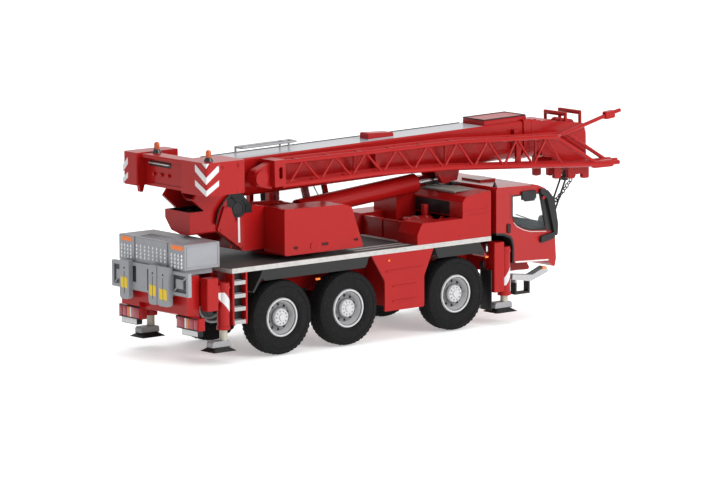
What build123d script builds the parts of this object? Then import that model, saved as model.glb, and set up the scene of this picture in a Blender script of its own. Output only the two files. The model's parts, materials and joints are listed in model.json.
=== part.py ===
"""Three-axle mobile crane, 1:50 display model. Millimetres, +X forward, +Y left, +Z up."""

import math
import os

from build123d import *

os.makedirs("parts", exist_ok=True)

# overall
REAR_TIP = -47.0
FRONT_TIP = 187.86
HALF_WIDTH = 25.8
X_SHIFT = -(REAR_TIP + FRONT_TIP) / 2

# wheels and axles
TYRE_R = 14.9
TYRE_W = 8.6
RIM_R = 7.7
AXLE_GAP = 3.4
AXLE_X = (88.4, 2 * TYRE_R + AXLE_GAP, 0.0)
INNER_Y = HALF_WIDTH - TYRE_W
KINGPIN_Y = INNER_Y - 3.7
GAP = 0.2

# carrier, drawn for fenders this far off the ground and raised with the wheels
FENDER_Z = 30.2
FENDER_ROOM = 0.4
RIDE = 2 * TYRE_R + FENDER_ROOM - FENDER_Z
DECK_Z0 = 34.5
DECK_Z1 = 36.35
DECK_REAR = -24.5
DECK_FRONT = 106.8
SIDE_Y = HALF_WIDTH - 0.6
DECK_Y = HALF_WIDTH - 0.4
FRAME_HALF = 9.0
FRAME_Z0 = 22.0

# carrier cab
CAB_REAR = 109.7
CAB_FRONT = 141.8
CAB_WALL = 0.9

# outriggers
JACK_X_REAR = -27.3
JACK_X_FRONT = 115.6
JACK_Y = HALF_WIDTH - 2.6
HOUSE_Y = JACK_Y - 3.0
JACK_R = 2.45
PAD_Z = 4.9
BEAM_Z0 = 24.0
BEAM_Z1 = 30.4

# superstructure
SLEW_X = 20.0
SLEW_Z = 37.6
TAIL_REAR = -37.0
TAIL_FRONT = -17.9
TAIL_Z0 = 65.4
TAIL_Z1 = 78.2
WINCH = (-25.0, 53.8)

# boom, drawn level and then pitched about its foot pin
PIVOT = (-18.5, 70.0)
PITCH = 1.1
BOOM_TOP = 75.4
BOOM_BOTTOM = 60.0
BOOM_HALF = 8.0
BOOM_REAR = -24.3
BOOM_FRONT = 143.0
BOOM_WALL = 0.7
SECTION_GAP = 0.3

# luffing cylinder pins, in the side view
BARREL_PIN = (24.0, 51.5)
ROD_PIN = (100.0, 57.9)
BARREL_R = 3.9
ROD_R = 2.2

# lower sheave pin of the boom head, level, and its sheave
HOOK_PIN = (170.2, 54.0)
SHEAVE_R = 3.4

parts = {}


def box(x0, x1, y0, y1, z0, z1):
    """A box between two corners."""
    size = Box(x1 - x0, y1 - y0, z1 - z0)
    return Pos((x0 + x1) / 2, (y0 + y1) / 2, (z0 + z1) / 2) * size


def outline(points, place):
    """A closed face through points in one plane; a third number rounds that corner."""
    ends = []
    for k, point in enumerate(points):
        here = Vector(point[0], point[1])
        if len(point) < 3:
            ends.append((here, here, here))
            continue
        back = (Vector(*points[k - 1][:2]) - here).normalized()
        ahead = (Vector(*points[(k + 1) % len(points)][:2]) - here).normalized()
        half = math.acos(max(-1.0, min(1.0, back.dot(ahead)))) / 2
        run = point[2] / math.tan(half)
        bisector = (back + ahead).normalized()
        middle = here + bisector * (point[2] / math.sin(half) - point[2])
        ends.append((here + back * run, middle, here + ahead * run))
    edges = []
    for k, (start, middle, stop) in enumerate(ends):
        if (stop - start).length > 1e-6:
            edges.append(Edge.make_three_point_arc(place(start), place(middle), place(stop)))
        following = ends[(k + 1) % len(ends)][0]
        if (following - stop).length > 1e-6:
            edges.append(Edge.make_line(place(stop), place(following)))
    return Face(Wire(edges))


def side_prism(points, y0, y1):
    """A profile in side view, (x, z) or (x, z, radius) points, extruded from y0 to y1."""
    face = outline(points, lambda p: Vector(p.X, y0, p.Y))
    return Solid.extrude(face, Vector(0, y1 - y0, 0))


def end_prism(points, x0, x1):
    """A profile in end view, (y, z) or (y, z, radius) points, extruded from x0 to x1."""
    face = outline(points, lambda p: Vector(x0, p.X, p.Y))
    return Solid.extrude(face, Vector(x1 - x0, 0, 0))


def plan_prism(points, z0, z1):
    """A profile in plan, (x, y) or (x, y, radius) points, extruded from z0 to z1."""
    face = outline(points, lambda p: Vector(p.X, p.Y, z0))
    return Solid.extrude(face, Vector(0, 0, z1 - z0))


def soft_box(x0, x1, y0, y1, z0, z1, r):
    """A box with its four upright edges rounded."""
    return plan_prism([(x0, y0, r), (x1, y0, r), (x1, y1, r), (x0, y1, r)], z0, z1)


def bar(p, q, r):
    """A round bar between two points."""
    start = Vector(*p)
    way = Vector(*q) - start
    frame = Plane(origin=start, z_dir=way)
    return frame * Pos(0, 0, way.length / 2) * Cylinder(r, way.length)


def y_cyl(x, z, r, y0, y1):
    """A cylinder along Y."""
    return bar((x, y0, z), (x, y1, z), r)


def z_cyl(x, y, r, z0, z1):
    """A cylinder along Z."""
    return Pos(x, y, (z0 + z1) / 2) * Cylinder(r, z1 - z0)


def x_cyl(y, z, r, x0, x1):
    """A cylinder along X."""
    return bar((x0, y, z), (x1, y, z), r)


def mirrored(shape):
    """The same shape on the other side of the middle plane."""
    return mirror(shape, about=Plane.XZ)


def both(shape):
    """A shape and its mirror image, as two separate solids."""
    return [shape, mirrored(shape)]


def add(name, *shapes):
    """File one node, from one solid or from several that don't touch."""
    solids = []
    for shape in shapes:
        items = shape if isinstance(shape, (list, tuple)) else [shape]
        for item in items:
            solids += item.solids()
    parts[name] = solids


def pitched(shape):
    """Turn a level boom piece to the pitch it rests at."""
    x, z = PIVOT
    turn = Pos(x, 0, z) * Rot(0, -PITCH, 0) * Pos(-x, 0, -z)
    return turn * shape


# wheels: a tyre with rounded shoulders, and a dished rim with hand holes
def tyre(x, side):
    inner = INNER_Y
    outer = HALF_WIDTH
    mid = (inner + outer) / 2
    with BuildSketch(Plane.YZ) as sk:
        with BuildLine():
            Polyline((inner + 1.0, RIM_R), (inner + 0.2, RIM_R + 1.6), (inner, TYRE_R - 3.0))
            ThreePointArc((inner, TYRE_R - 3.0), (inner + 0.25, TYRE_R - 1.0), (inner + 1.2, TYRE_R - 0.25))
            ThreePointArc((inner + 1.2, TYRE_R - 0.25), (mid, TYRE_R), (outer - 1.2, TYRE_R - 0.25))
            ThreePointArc((outer - 1.2, TYRE_R - 0.25), (outer - 0.25, TYRE_R - 1.0), (outer, TYRE_R - 3.0))
            Polyline((outer, TYRE_R - 3.0), (outer - 0.2, RIM_R + 1.6), (outer - 1.0, RIM_R))
            Line((outer - 1.0, RIM_R), (inner + 1.0, RIM_R))
        make_face()
    ring = revolve(sk.sketch, axis=Axis.Y)
    placed = Pos(x, 0, TYRE_R) * ring
    return placed if side > 0 else mirrored(placed)


HAND_HOLES = 10
HUB_R = 3.4


def rim(x, side):
    inner = INNER_Y
    outer = HALF_WIDTH
    profile = [
        (inner + 1.0, RIM_R),
        (inner + 1.0, RIM_R - 0.8),
        (outer - 5.0, RIM_R - 1.3),
        (outer - 5.0, HUB_R),
        (inner + 0.5, HUB_R),
        (inner + 0.5, 1.5),
        (outer - 1.7, 1.5),
        (outer - 1.7, 0.0),
        (outer - 0.5, 0.0),
        (outer - 0.5, 1.3),
        (outer - 0.9, 1.5),
        (outer - 0.9, HUB_R - 0.3),
        (outer - 1.2, HUB_R),
        (outer - 3.0, HUB_R + 0.3),
        (outer - 3.3, HUB_R + 0.7),
        (outer - 3.3, RIM_R - 2.1),
        (outer - 2.6, RIM_R - 1.8),
        (outer - 1.1, RIM_R - 1.2),
        (outer - 0.5, RIM_R - 0.8),
        (outer - 0.5, RIM_R - 0.3),
        (outer - 1.0, RIM_R),
    ]
    with BuildSketch(Plane.YZ) as sk:
        with BuildLine():
            Polyline(*profile, close=True)
        make_face()
    disc = revolve(sk.sketch, axis=Axis.Y)
    ring_r = (HUB_R + RIM_R - 1.4) / 2
    for k in range(HAND_HOLES):
        angle = 2 * math.pi * (k + 0.5) / HAND_HOLES
        hole_x = ring_r * math.cos(angle)
        hole_z = ring_r * math.sin(angle)
        disc -= y_cyl(hole_x, hole_z, 0.6, outer - 6, outer - 2)
    placed = Pos(x, 0, TYRE_R) * disc
    return placed if side > 0 else mirrored(placed)


def knuckle(x, side):
    inner = INNER_Y
    z = TYRE_R
    web = y_cyl(x, z, 3.4, inner - 1.4, inner - 0.2)
    stub = y_cyl(x, z, 1.3, inner - 0.4, HALF_WIDTH - 1.9)
    shape = web + stub
    for low, high in ((z - 3.3, z - 1.9), (z + 1.9, z + 3.3)):
        arm = box(x - 1.9, x + 1.9, KINGPIN_Y, inner - 0.6, low, high)
        shape += arm + z_cyl(x, KINGPIN_Y, 1.9, low, high)
    shape += z_cyl(x, KINGPIN_Y, 0.8, z - 3.3, z + 3.3)
    return shape if side > 0 else mirrored(shape)


SIDES = (("left", 1), ("right", -1))
for number, axle_x in enumerate(AXLE_X, start=1):
    for label, side in SIDES:
        add(f"tyre_{number}_{label}", tyre(axle_x, side))
        add(f"rim_{number}_{label}", rim(axle_x, side))
        add(f"knuckle_{number}_{label}", knuckle(axle_x, side))

# axle beams with their suspension struts
beams = []
for axle_x in AXLE_X:
    z = TYRE_R
    beam = box(axle_x - 1.8, axle_x + 1.8, -KINGPIN_Y, KINGPIN_Y, z - 1.7, z + 1.7)
    beam += Pos(axle_x, 0, z) * Sphere(4.4)
    beam += x_cyl(0, z, 1.6, axle_x - 5.6, axle_x)
    for side in (-1, 1):
        beam += z_cyl(axle_x, side * KINGPIN_Y, 1.9, z - 1.7, z + 1.7)
        beam -= z_cyl(axle_x, side * KINGPIN_Y, 1.0, z - 3, z + 3)
        beam += z_cyl(axle_x, side * 7.0, 1.5, z, FRAME_Z0 + RIDE)
    beams.append(beam)
add("axle_beams", beams)

# main frame with the fixed half of the slewing ring
frame = side_prism(
    [
        (-26.2, FRAME_Z0),
        (108.2, FRAME_Z0),
        (108.2, 31.0),
        (104.0, DECK_Z0),
        (-26.2, DECK_Z0),
    ],
    -FRAME_HALF,
    FRAME_HALF,
)
frame += z_cyl(SLEW_X, 0, 12.35, DECK_Z0, SLEW_Z - GAP)
frame += box(-26.2, -20.0, -FRAME_HALF - 5, FRAME_HALF + 5, 28.0, DECK_Z0)

# deck plates, wrapped round the ring
deck = box(DECK_REAR, DECK_FRONT, -DECK_Y, DECK_Y, DECK_Z0, DECK_Z1)
deck -= z_cyl(SLEW_X, 0, 12.5, DECK_Z0 - 1, DECK_Z1 + 1)
add("deck_plates", deck)

# side panels between the second and first axle
PANEL_REAR = AXLE_X[1] + TYRE_R + 3.5
PANEL_FRONT = AXLE_X[0] - TYRE_R - 1.6
PANEL_FOOT = 11.6
PANEL_SHOULDER = 24.0
skirt = side_prism(
    [
        (PANEL_REAR - 6.7, DECK_Z0),
        (PANEL_REAR, PANEL_SHOULDER, 3.0),
        (PANEL_REAR, PANEL_FOOT, 0.8),
        (PANEL_FRONT, PANEL_FOOT, 0.8),
        (PANEL_FRONT, PANEL_SHOULDER, 3.0),
        (PANEL_FRONT + 4.9, DECK_Z0),
    ],
    SIDE_Y - 0.7,
    SIDE_Y,
)
skirt += box(PANEL_REAR + 3.0, PANEL_FRONT - 3.1, 10.0, SIDE_Y - 0.4, 13.0, DECK_Z0)
for rib_z, inset in ((14.9, 4.2), (20.8, 4.2), (27.1, 1.0)):
    skirt += box(PANEL_REAR + inset, PANEL_FRONT - inset, SIDE_Y - 0.1, SIDE_Y + 0.3, rib_z, rib_z + 0.7)
add("side_panels", both(skirt))

# flat fenders over the wheels: a shelf with a deeper lip along its outer edge
FENDER_Y = HALF_WIDTH - 0.5
SHELF_Z = 31.4
FENDER_END = AXLE_X[1] + 9.4


def fender(shelf, lip):
    """One fender from its shelf and its lip, both in side view."""
    return side_prism(shelf, INNER_Y - 0.2, FENDER_Y) + side_prism(lip, FENDER_Y - 0.7, FENDER_Y)


rear_fender = fender(
    [
        (-TYRE_R + 0.4, 26.5),
        (-TYRE_R + 4.4, 32.6, 2.0),
        (-TYRE_R + 5.4, DECK_Z0),
        (FENDER_END, DECK_Z0),
        (FENDER_END, SHELF_Z),
        (-TYRE_R + 5.0, SHELF_Z, 2.0),
        (-TYRE_R + 1.0, 25.9),
    ],
    [
        (-TYRE_R + 5.4, DECK_Z0),
        (FENDER_END + 1.0, DECK_Z0),
        (FENDER_END - 1.0, FENDER_Z),
        (-TYRE_R + 5.4, FENDER_Z, 1.5),
    ],
)
FENDER_NOSE = AXLE_X[0] + TYRE_R
front_fender = fender(
    [
        (AXLE_X[0] - 11.0, DECK_Z0),
        (FENDER_NOSE - 2.5, DECK_Z0),
        (FENDER_NOSE + 1.9, 28.0),
        (FENDER_NOSE + 1.1, 28.0),
        (FENDER_NOSE - 3.1, SHELF_Z, 2.0),
        (AXLE_X[0] - 9.8, SHELF_Z),
    ],
    [
        (AXLE_X[0] - 11.0, DECK_Z0),
        (FENDER_NOSE - 2.6, DECK_Z0),
        (FENDER_NOSE - 2.6, FENDER_Z, 1.5),
        (AXLE_X[0] - 9.4, FENDER_Z),
    ],
)
add("fenders", both(rear_fender), both(front_fender))

# ladders behind the rear wheels
LADDER_FRONT = -TYRE_R - 2.2
LADDER_REAR = DECK_REAR + 0.2
LADDER_FOOT = 14.4
RUNGS = 4
RUNG_PITCH = 5.1
ladder = box(LADDER_REAR, LADDER_FRONT, SIDE_Y - 3.6, SIDE_Y - 2.5, LADDER_FOOT, DECK_Z0)
for rail_x in (LADDER_REAR, LADDER_FRONT - 0.8):
    ladder += box(rail_x, rail_x + 0.8, SIDE_Y - 2.7, SIDE_Y + 0.1, LADDER_FOOT, DECK_Z0)
for k in range(RUNGS):
    rung_z = LADDER_FOOT + 0.2 + RUNG_PITCH * k
    ladder += box(LADDER_REAR + 0.7, LADDER_FRONT - 0.7, SIDE_Y - 2.6, SIDE_Y + 0.1, rung_z, rung_z + 1.5)
add("boarding_ladders", both(ladder))


# outrigger housings, one at each end, each with two side by side tunnels
def housing(x0, x1):
    mid = (x0 + x1) / 2
    shell = box(x0, x1, -HOUSE_Y, HOUSE_Y, 22.6, 31.6)
    shell -= box(x0 + 0.5, mid - 0.15, -HOUSE_Y - 1, HOUSE_Y + 1, BEAM_Z0 - GAP, BEAM_Z1 + GAP)
    shell -= box(mid + 0.15, x1 - 0.5, -HOUSE_Y - 1, HOUSE_Y + 1, BEAM_Z0 - GAP, BEAM_Z1 + GAP)
    return shell


REAR_BOX = (-37.0, -26.2)
FRONT_BOX = (108.2, 119.0)
add("outrigger_housings", housing(*REAR_BOX), housing(*FRONT_BOX))

LEG_R = 1.55
LEG_BORE = 1.75


def beam_and_jack(span, jack_x, plate, first, side):
    """Right beams run in the rearward tunnel, left beams in the forward one."""
    x0, x1 = span
    mid = (x0 + x1) / 2
    lane = (x0 + 0.7, mid - 0.35) if side < 0 else (mid + 0.35, x1 - 0.7)
    shape = box(lane[0], lane[1], 1.7 - HOUSE_Y, JACK_Y - 1.2, BEAM_Z0, BEAM_Z1)
    cap_y = JACK_Y - 2.3
    shape += soft_box(plate[0], plate[1], cap_y, HALF_WIDTH - 0.3, plate[2], plate[3], 0.5)
    carry = (min(plate[0] + 1, jack_x), max(plate[1] - 1, jack_x))
    shape += box(carry[0], carry[1], JACK_Y - 1.8, JACK_Y + 1.2, BEAM_Z0, BEAM_Z1)
    shape += z_cyl(jack_x, JACK_Y, JACK_R, first, 31.2)
    shape += z_cyl(jack_x, JACK_Y, JACK_R + 0.25, first, first + 1.3)
    shape += z_cyl(jack_x, JACK_Y, JACK_R + 0.25, 29.0, 30.0)
    shape -= z_cyl(jack_x, JACK_Y, LEG_BORE, first - 1, 28.0)
    return shape if side > 0 else mirrored(shape)


def jack_foot(jack_x, pad_dx, side):
    """A leg, a bracket with a rounded back, and a square pad that tapers upward."""
    shape = z_cyl(jack_x, JACK_Y, LEG_R, PAD_Z + 2.0, 27.0)
    cx = jack_x + pad_dx
    shape += side_prism(
        [
            (cx - 4.4, PAD_Z + 1.4),
            (cx + 4.4, PAD_Z + 1.4),
            (cx + 4.4, PAD_Z + 3.9, 1.0),
            (cx - 4.4, PAD_Z + 3.9, 1.0),
        ],
        JACK_Y - 2.4,
        JACK_Y + 1.6,
    )
    pad = Pos(cx, JACK_Y - 0.6, PAD_Z) * loft([
        RectangleRounded(11.4, 9.2, 0.8).face(),
        (Pos(0, 0, 1.7) * RectangleRounded(6.0, 4.6, 0.8)).face(),
    ])
    shape += pad
    return shape if side > 0 else mirrored(shape)


REAR_PLATE = (-36.6, -31.2, 21.0, 33.6)
FRONT_PLATE = (108.6, 113.8, 13.2, 33.4)
for label, side in SIDES:
    add(f"outrigger_beam_rear_{label}", beam_and_jack(REAR_BOX, JACK_X_REAR, REAR_PLATE, 13.0, side))
    add(f"outrigger_beam_front_{label}", beam_and_jack(FRONT_BOX, JACK_X_FRONT, FRONT_PLATE, 11.4, side))
    add(f"jack_foot_rear_{label}", jack_foot(JACK_X_REAR, -2.0, side))
    add(f"jack_foot_front_{label}", jack_foot(JACK_X_FRONT, -1.6, side))

# rear end: crossmember, lamp bars, ballast rack and the ballast on it
panel = side_prism([(-43.0, 19.5), (-37.0, 17.5), (-37.0, 33.2), (-43.0, 33.2)], -20.8, 20.8)
panel -= box(-44, -40.5, -9.5, 9.5, 15, 21.5)
panel += box(-40.4, -37.0, -20.8, 20.8, 33.0, 34.6)

LAMP_Y = (HALF_WIDTH - 14.3, HALF_WIDTH - 0.4)
lamp = soft_box(-41.0, -37.6, *LAMP_Y, 13.8, 18.6, 0.6)
lamp += box(-40.0, -37.6, LAMP_Y[0] + 1.5, LAMP_Y[0] + 7.5, 18.5, 20.5)
lamp += box(-40.6, -37.9, LAMP_Y[0] + 3.0, LAMP_Y[1] - 1.2, 11.4, 13.9)
add("lamp_bars", both(lamp))
add("rear_panel", panel - lamp - mirrored(lamp))

BALLAST_HALF = 21.0
ballast = soft_box(-44.1, -26.9, -BALLAST_HALF, BALLAST_HALF, 37.1, 46.9, 0.6)
ballast = chamfer(ballast.faces().sort_by(Axis.Z)[-1].edges(), 0.3)
for groove_y in (-10.5, 10.5):
    ballast -= box(-45, -43.5, groove_y - 0.35, groove_y + 0.35, 37, 48)
add("ballast_slabs", ballast)

RACK_TOP = 37.1
rack = box(-43.6, -28.5, -18.0, 18.0, 34.6, RACK_TOP)
rack += box(-45.2, -43.0, -13.0, 16.0, 26.2, 37.0)
for low_y, high_y in ((10.8, 16.7), (-7.0, -1.8), (-14.6, -7.5)):
    rack += end_prism(
        [(low_y, 22.4, 1.6), (high_y, 22.4, 1.6), (high_y, RACK_TOP + 0.6, 0.5), (low_y, RACK_TOP + 0.6, 0.5)],
        -47.0,
        -45.0,
    )
for low_y, high_y, low_z in ((-24.4, -13.2, 27.2), (14.0, 24.4, 26.2)):
    window = box(-45.0, -43.4, low_y, high_y, low_z, 36.4)
    window -= box(-46.0, -44.4, low_y + 1.3, high_y - 1.3, low_z + 1.3, 35.1)
    centre_y = (low_y + high_y) / 2
    centre_z = (low_z + 36.4) / 2
    window += box(-45.0, -44.2, centre_y - 2.2, centre_y + 2.2, centre_z - 1.8, centre_z + 1.8)
    window += bar((-44.5, low_y + 1.0, 35.4), (-44.5, high_y - 1.0, low_z + 1.0), 0.35)
    rack += window
add("ballast_rack", rack)

# engine housing across the deck, its grille recess, and the lower part that stands out rearward
HOOD_REAR = 92.0
hood = side_prism(
    [(HOOD_REAR, DECK_Z1), (106.9, DECK_Z1), (106.9, 54.9, 0.8), (93.9, 53.4, 1.0), (HOOD_REAR, 51.4, 1.0)],
    -SIDE_Y,
    SIDE_Y,
)
hood -= box(94.6, 105.6, -17.0, 9.5, 53.2, 56.0)
for slat in range(9):
    slat_x = 94.9 + 1.2 * slat
    hood += box(slat_x, slat_x + 0.45, -17.1, 9.6, 53.0, 53.9)
hood -= box(HOOD_REAR - 1, HOOD_REAR + 1.2, -17.0, 4.0, 45.5, 50.8)
hood += side_prism(
    [(83.0, DECK_Z1), (HOOD_REAR + 0.3, DECK_Z1), (HOOD_REAR + 0.3, 52.2), (84.0, 52.2, 1.0), (83.0, 50.5)], 5.2, 19.5
)
add("engine_housing", hood)

# lockers, low boxes on the deck beside the boom, and the bulkhead between them
LOCKER_IN = 13.0
locker = side_prism(
    [(68.5, DECK_Z1), (HOOD_REAR, DECK_Z1), (HOOD_REAR, 44.8), (71.0, 44.8, 0.8), (68.5, 40.5, 0.8)], LOCKER_IN, SIDE_Y
)
locker += box(71.5, 73.5, 0.6, LOCKER_IN + 0.1, DECK_Z1, 44.0)
add("side_lockers", both(locker - hood))

# exhaust muffler on its two saddles, with the pipe that rises from it
MUFFLER_Y = -6.5
MUFFLER_Z = 40.6
muffler = x_cyl(MUFFLER_Y, MUFFLER_Z, 4.0, 76.0, 90.0)
muffler += bar((88.0, MUFFLER_Y, MUFFLER_Z), (88.0, MUFFLER_Y, 49.0), 1.4)
for saddle_x in (78.0, 85.0):
    muffler += box(saddle_x, saddle_x + 2.5, MUFFLER_Y - 2.0, MUFFLER_Y + 2.0, DECK_Z1, 40.0)
add("exhaust_muffler", muffler)

rest = box(104.9, 106.9, -2.6, 2.6, 54.0, 55.4)
rest += box(104.9, 107.3, -4.0, 4.0, 55.2, 56.0)
add("boom_rest", rest - hood)

# carrier cab: hollow, windows cut at wall thickness
cab_profile = [
    (CAB_REAR, 37.2),
    (114.0, 36.8, 3.0),
    (118.2, 35.0, 3.0),
    (119.3, 31.0, 2.0),
    (119.3, 24.2, 0.6),
    (137.3, 23.0, 2.0),
    (141.0, 20.2, 0.8),
    (CAB_FRONT, 24.0, 1.5),
    (CAB_FRONT - 0.6, 33.0, 6.0),
    (140.2, 37.6, 3.0),
    (136.6, 52.8, 2.6),
    (131.4, 54.9, 4.0),
    (CAB_REAR, 55.5, 1.2),
]
cab = side_prism(cab_profile, -SIDE_Y, SIDE_Y)
inner_profile = [
    (CAB_REAR + CAB_WALL, 38.2),
    (114.4, 37.8, 3.0),
    (119.2, 35.8, 3.0),
    (120.3, 31.0, 2.0),
    (120.3, 25.3),
    (137.4, 24.6, 1.0),
    (CAB_FRONT - 1.3, 25.0),
    (CAB_FRONT - 1.6, 33.0, 6.0),
    (139.1, 37.6, 3.0),
    (135.5, 52.2, 2.0),
    (131.2, 53.8, 3.0),
    (CAB_REAR + CAB_WALL, 54.5),
]
cab -= side_prism(inner_profile, -SIDE_Y + CAB_WALL, SIDE_Y - CAB_WALL)
side_window = [
    (118.2, 51.4, 1.0),
    (118.2, 43.4, 3.0),
    (120.6, 39.6, 3.0),
    (127.4, 36.8, 6.0),
    (136.6, 36.0, 1.2),
    (133.0, 51.4, 1.0),
]
window_low_y = SIDE_Y - 2.5
cab -= side_prism(side_window, window_low_y, SIDE_Y + 1)
cab -= side_prism(side_window, -SIDE_Y - 1, -window_low_y)
screen_half = SIDE_Y - 2.2
screen = end_prism(
    [
        (-screen_half, 38.4, 1.5),
        (screen_half, 38.4, 1.5),
        (screen_half - 0.6, 51.4, 2.0),
        (0.6 - screen_half, 51.4, 2.0),
    ],
    134.0,
    145.0,
)
cab -= screen & side_prism([(137.6, 37.9), (146.0, 37.9), (146.0, 52.0), (134.0, 52.0)], -30, 30)
cab -= soft_box(CAB_REAR - 1, CAB_REAR + 2, -10.0, 10.0, 46.0, 52.0, 0.4)
roof_hatch = soft_box(117.5, 126.5, -6.0, 6.0, 54.6, 56.0, 1.2)
cab += roof_hatch
add("cab_shell", cab)

# black trim on the cab: wheel arch edges and the mirror arms at the front pillars
arch_trim = side_prism(
    [
        (CAB_REAR, 37.2),
        (114.0, 36.8, 3.0),
        (118.2, 35.0, 3.0),
        (119.3, 31.0, 2.0),
        (119.3, 24.2),
        (118.4, 24.2),
        (118.4, 31.0, 1.6),
        (117.4, 34.3, 2.4),
        (113.7, 35.9, 2.4),
        (CAB_REAR, 36.3),
    ],
    SIDE_Y - 4.6,
    SIDE_Y,
)
PILLAR_Y = SIDE_Y + 1.2
mirror_arm = side_prism(
    [
        (132.4, 53.4, 0.6),
        (136.4, 52.4, 2.0),
        (139.8, 48.6, 2.0),
        (141.9, 38.0, 4.0),
        (141.6, 33.5, 0.8),
        (139.9, 33.5, 0.8),
        (139.0, 38.0, 4.0),
        (136.0, 48.8, 2.0),
        (132.4, 51.6, 0.6),
    ],
    SIDE_Y,
    PILLAR_Y,
)
mirror_arm += side_prism(
    [(132.8, 33.8, 0.8), (140.2, 35.0, 0.8), (140.2, 32.6, 0.8), (132.8, 31.0, 0.8)], SIDE_Y, PILLAR_Y
)
add("cab_trim", both(arch_trim), both(mirror_arm))

floor = box(120.4, 137.0, -SIDE_Y + CAB_WALL, SIDE_Y - CAB_WALL, 25.3, 26.4)
for seat_y in (-13.0, 13.0):
    floor += box(121.5, 127.5, seat_y - 4.5, seat_y + 4.5, 26.3, 33.0)
    backrest = [(121.0, 33.0), (122.6, 33.0), (121.8, 43.5, 0.5), (120.6, 43.5, 0.5)]
    floor += side_prism(backrest, seat_y - 4.0, seat_y + 4.0)
floor += box(134.5, 139.0, -22.0, 22.0, 26.3, 35.5)
floor += bar((134.0, 13.0, 35.0), (131.5, 13.0, 37.6), 0.5)
wheel = Plane(origin=(131.5, 13.0, 37.6), z_dir=(-0.7, 0, 0.7)) * Cylinder(4.0, 0.6)
floor += wheel
add("cab_interior", floor)

# front bumper bar with its step frames
BUMPER_IN = SIDE_Y - 4.2
BUMPER_OUT = SIDE_Y - 0.4
bumper = side_prism(
    [
        (118.6, 17.4, 0.4),
        (128.6, 15.8, 1.5),
        (138.2, 18.9, 0.8),
        (136.9, 21.2, 0.8),
        (129.4, 18.3, 2.0),
        (118.8, 19.6, 0.4),
    ],
    BUMPER_IN,
    BUMPER_OUT,
)
bumper += box(122.0, 124.0, 12.5, BUMPER_IN + 0.4, 17.2, 18.6)
bumper += box(122.0, 124.0, 11.6, 12.8, 17.2, 24.6)
under = side_prism([(119.0, 19.0), (137.0, 18.0, 1.0), (140.4, 18.0, 0.8), (137.3, 23.0), (119.0, 24.2)], -11.0, 11.0)
under += box(136.0, 143.6, -2.4, 2.4, 16.4, 18.6)
under -= z_cyl(142.0, 0, 0.8, 15.0, 20.0)
add("chassis_frame", frame, under - cab)
STEP_FOOT = 11.0
step = box(120.4, 128.2, BUMPER_IN + 0.6, BUMPER_OUT - 0.2, STEP_FOOT, STEP_FOOT + 0.9)
for post_x in (120.4, 127.4):
    step += box(post_x, post_x + 0.8, BUMPER_IN + 0.6, BUMPER_OUT - 0.2, STEP_FOOT, 17.0)
add("front_steps", both((bumper + step) - cab))

# superstructure: turntable, cheek plates to the boom foot, winch box slung behind them
CHEEK_IN = 8.6
CHEEK_OUT = 10.0
platform = z_cyl(SLEW_X, 0, 12.0, SLEW_Z, 38.1) + z_cyl(SLEW_X, 0, 9.9, 38.0, 40.0)
platform += box(-7.0, 38.0, -9.0, 9.0, 39.8, 46.8)
cheek_profile = [
    (-7.2, 39.8, 1.0),
    (34.0, 39.8),
    (34.0, 50.0, 2.0),
    (27.0, 54.6, 3.0),
    (10.0, 55.5, 4.0),
    (-3.0, 57.6, 4.0),
    (-11.0, 66.0, 6.0),
    (-13.5, 74.0, 2.0),
    (-28.8, 74.0),
    (-28.8, 64.9, 1.0),
    (-31.3, 61.8, 0.5),
    (-24.6, 56.0, 3.0),
    (-20.6, 49.1, 2.0),
]
cheek = side_prism(cheek_profile, CHEEK_IN, CHEEK_OUT)
HOSE_HOLE = (-9.3, 56.6)
cheek -= y_cyl(*HOSE_HOLE, 3.6, CHEEK_IN - 1, CHEEK_OUT + 1)
platform += cheek + mirrored(cheek)
hinged_plate = [
    (-16.8, 58.6, 1.0),
    (-13.6, 57.4, 0.5),
    (-12.0, 52.8, 3.0),
    (-7.6, 49.8, 1.0),
    (-7.4, 40.2, 0.5),
    (-20.4, 49.3, 0.8),
]
platform += side_prism(hinged_plate, -CHEEK_OUT - 1.0, -CHEEK_OUT + 0.1)
winch_x, winch_z = WINCH
winch_face = [
    (-10.0, 57.2),
    (-10.0, 48.3, 1.0),
    (-4.0, 48.3, 2.0),
    (1.8, 49.4, 2.0),
    (5.7, 54.0, 2.0),
    (5.7, 57.2),
]
winch_box = end_prism(winch_face, -33.0, -18.0)
winch_room = [
    (-8.9, 58.0),
    (-8.9, 49.7, 0.5),
    (-4.0, 49.7, 1.0),
    (1.0, 50.6, 1.0),
    (4.6, 54.6, 1.0),
    (4.6, 58.0),
]
winch_box -= end_prism(winch_room, -32.0, -19.0)
winch_box += box(-21.0, -18.0, -9.0, 9.0, 49.6, 51.6) - end_prism(winch_room, -32.0, -19.0)
platform += winch_box
for side in (-1, 1):
    low_y, high_y = side * 7.4 - 1.4, side * 7.4 + 1.4
    lug = box(21.0, 27.0, low_y, high_y, 46.6, 50.0) + y_cyl(*BARREL_PIN, 2.8, low_y, high_y)
    platform += lug
    platform += y_cyl(*PIVOT, 3.0, side * 8.1, side * CHEEK_OUT)
platform += y_cyl(*BARREL_PIN, 1.4, -8.0, 8.0)
platform += y_cyl(*PIVOT, 1.6, -9.0, 9.0)
add("slew_platform", platform)

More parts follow.
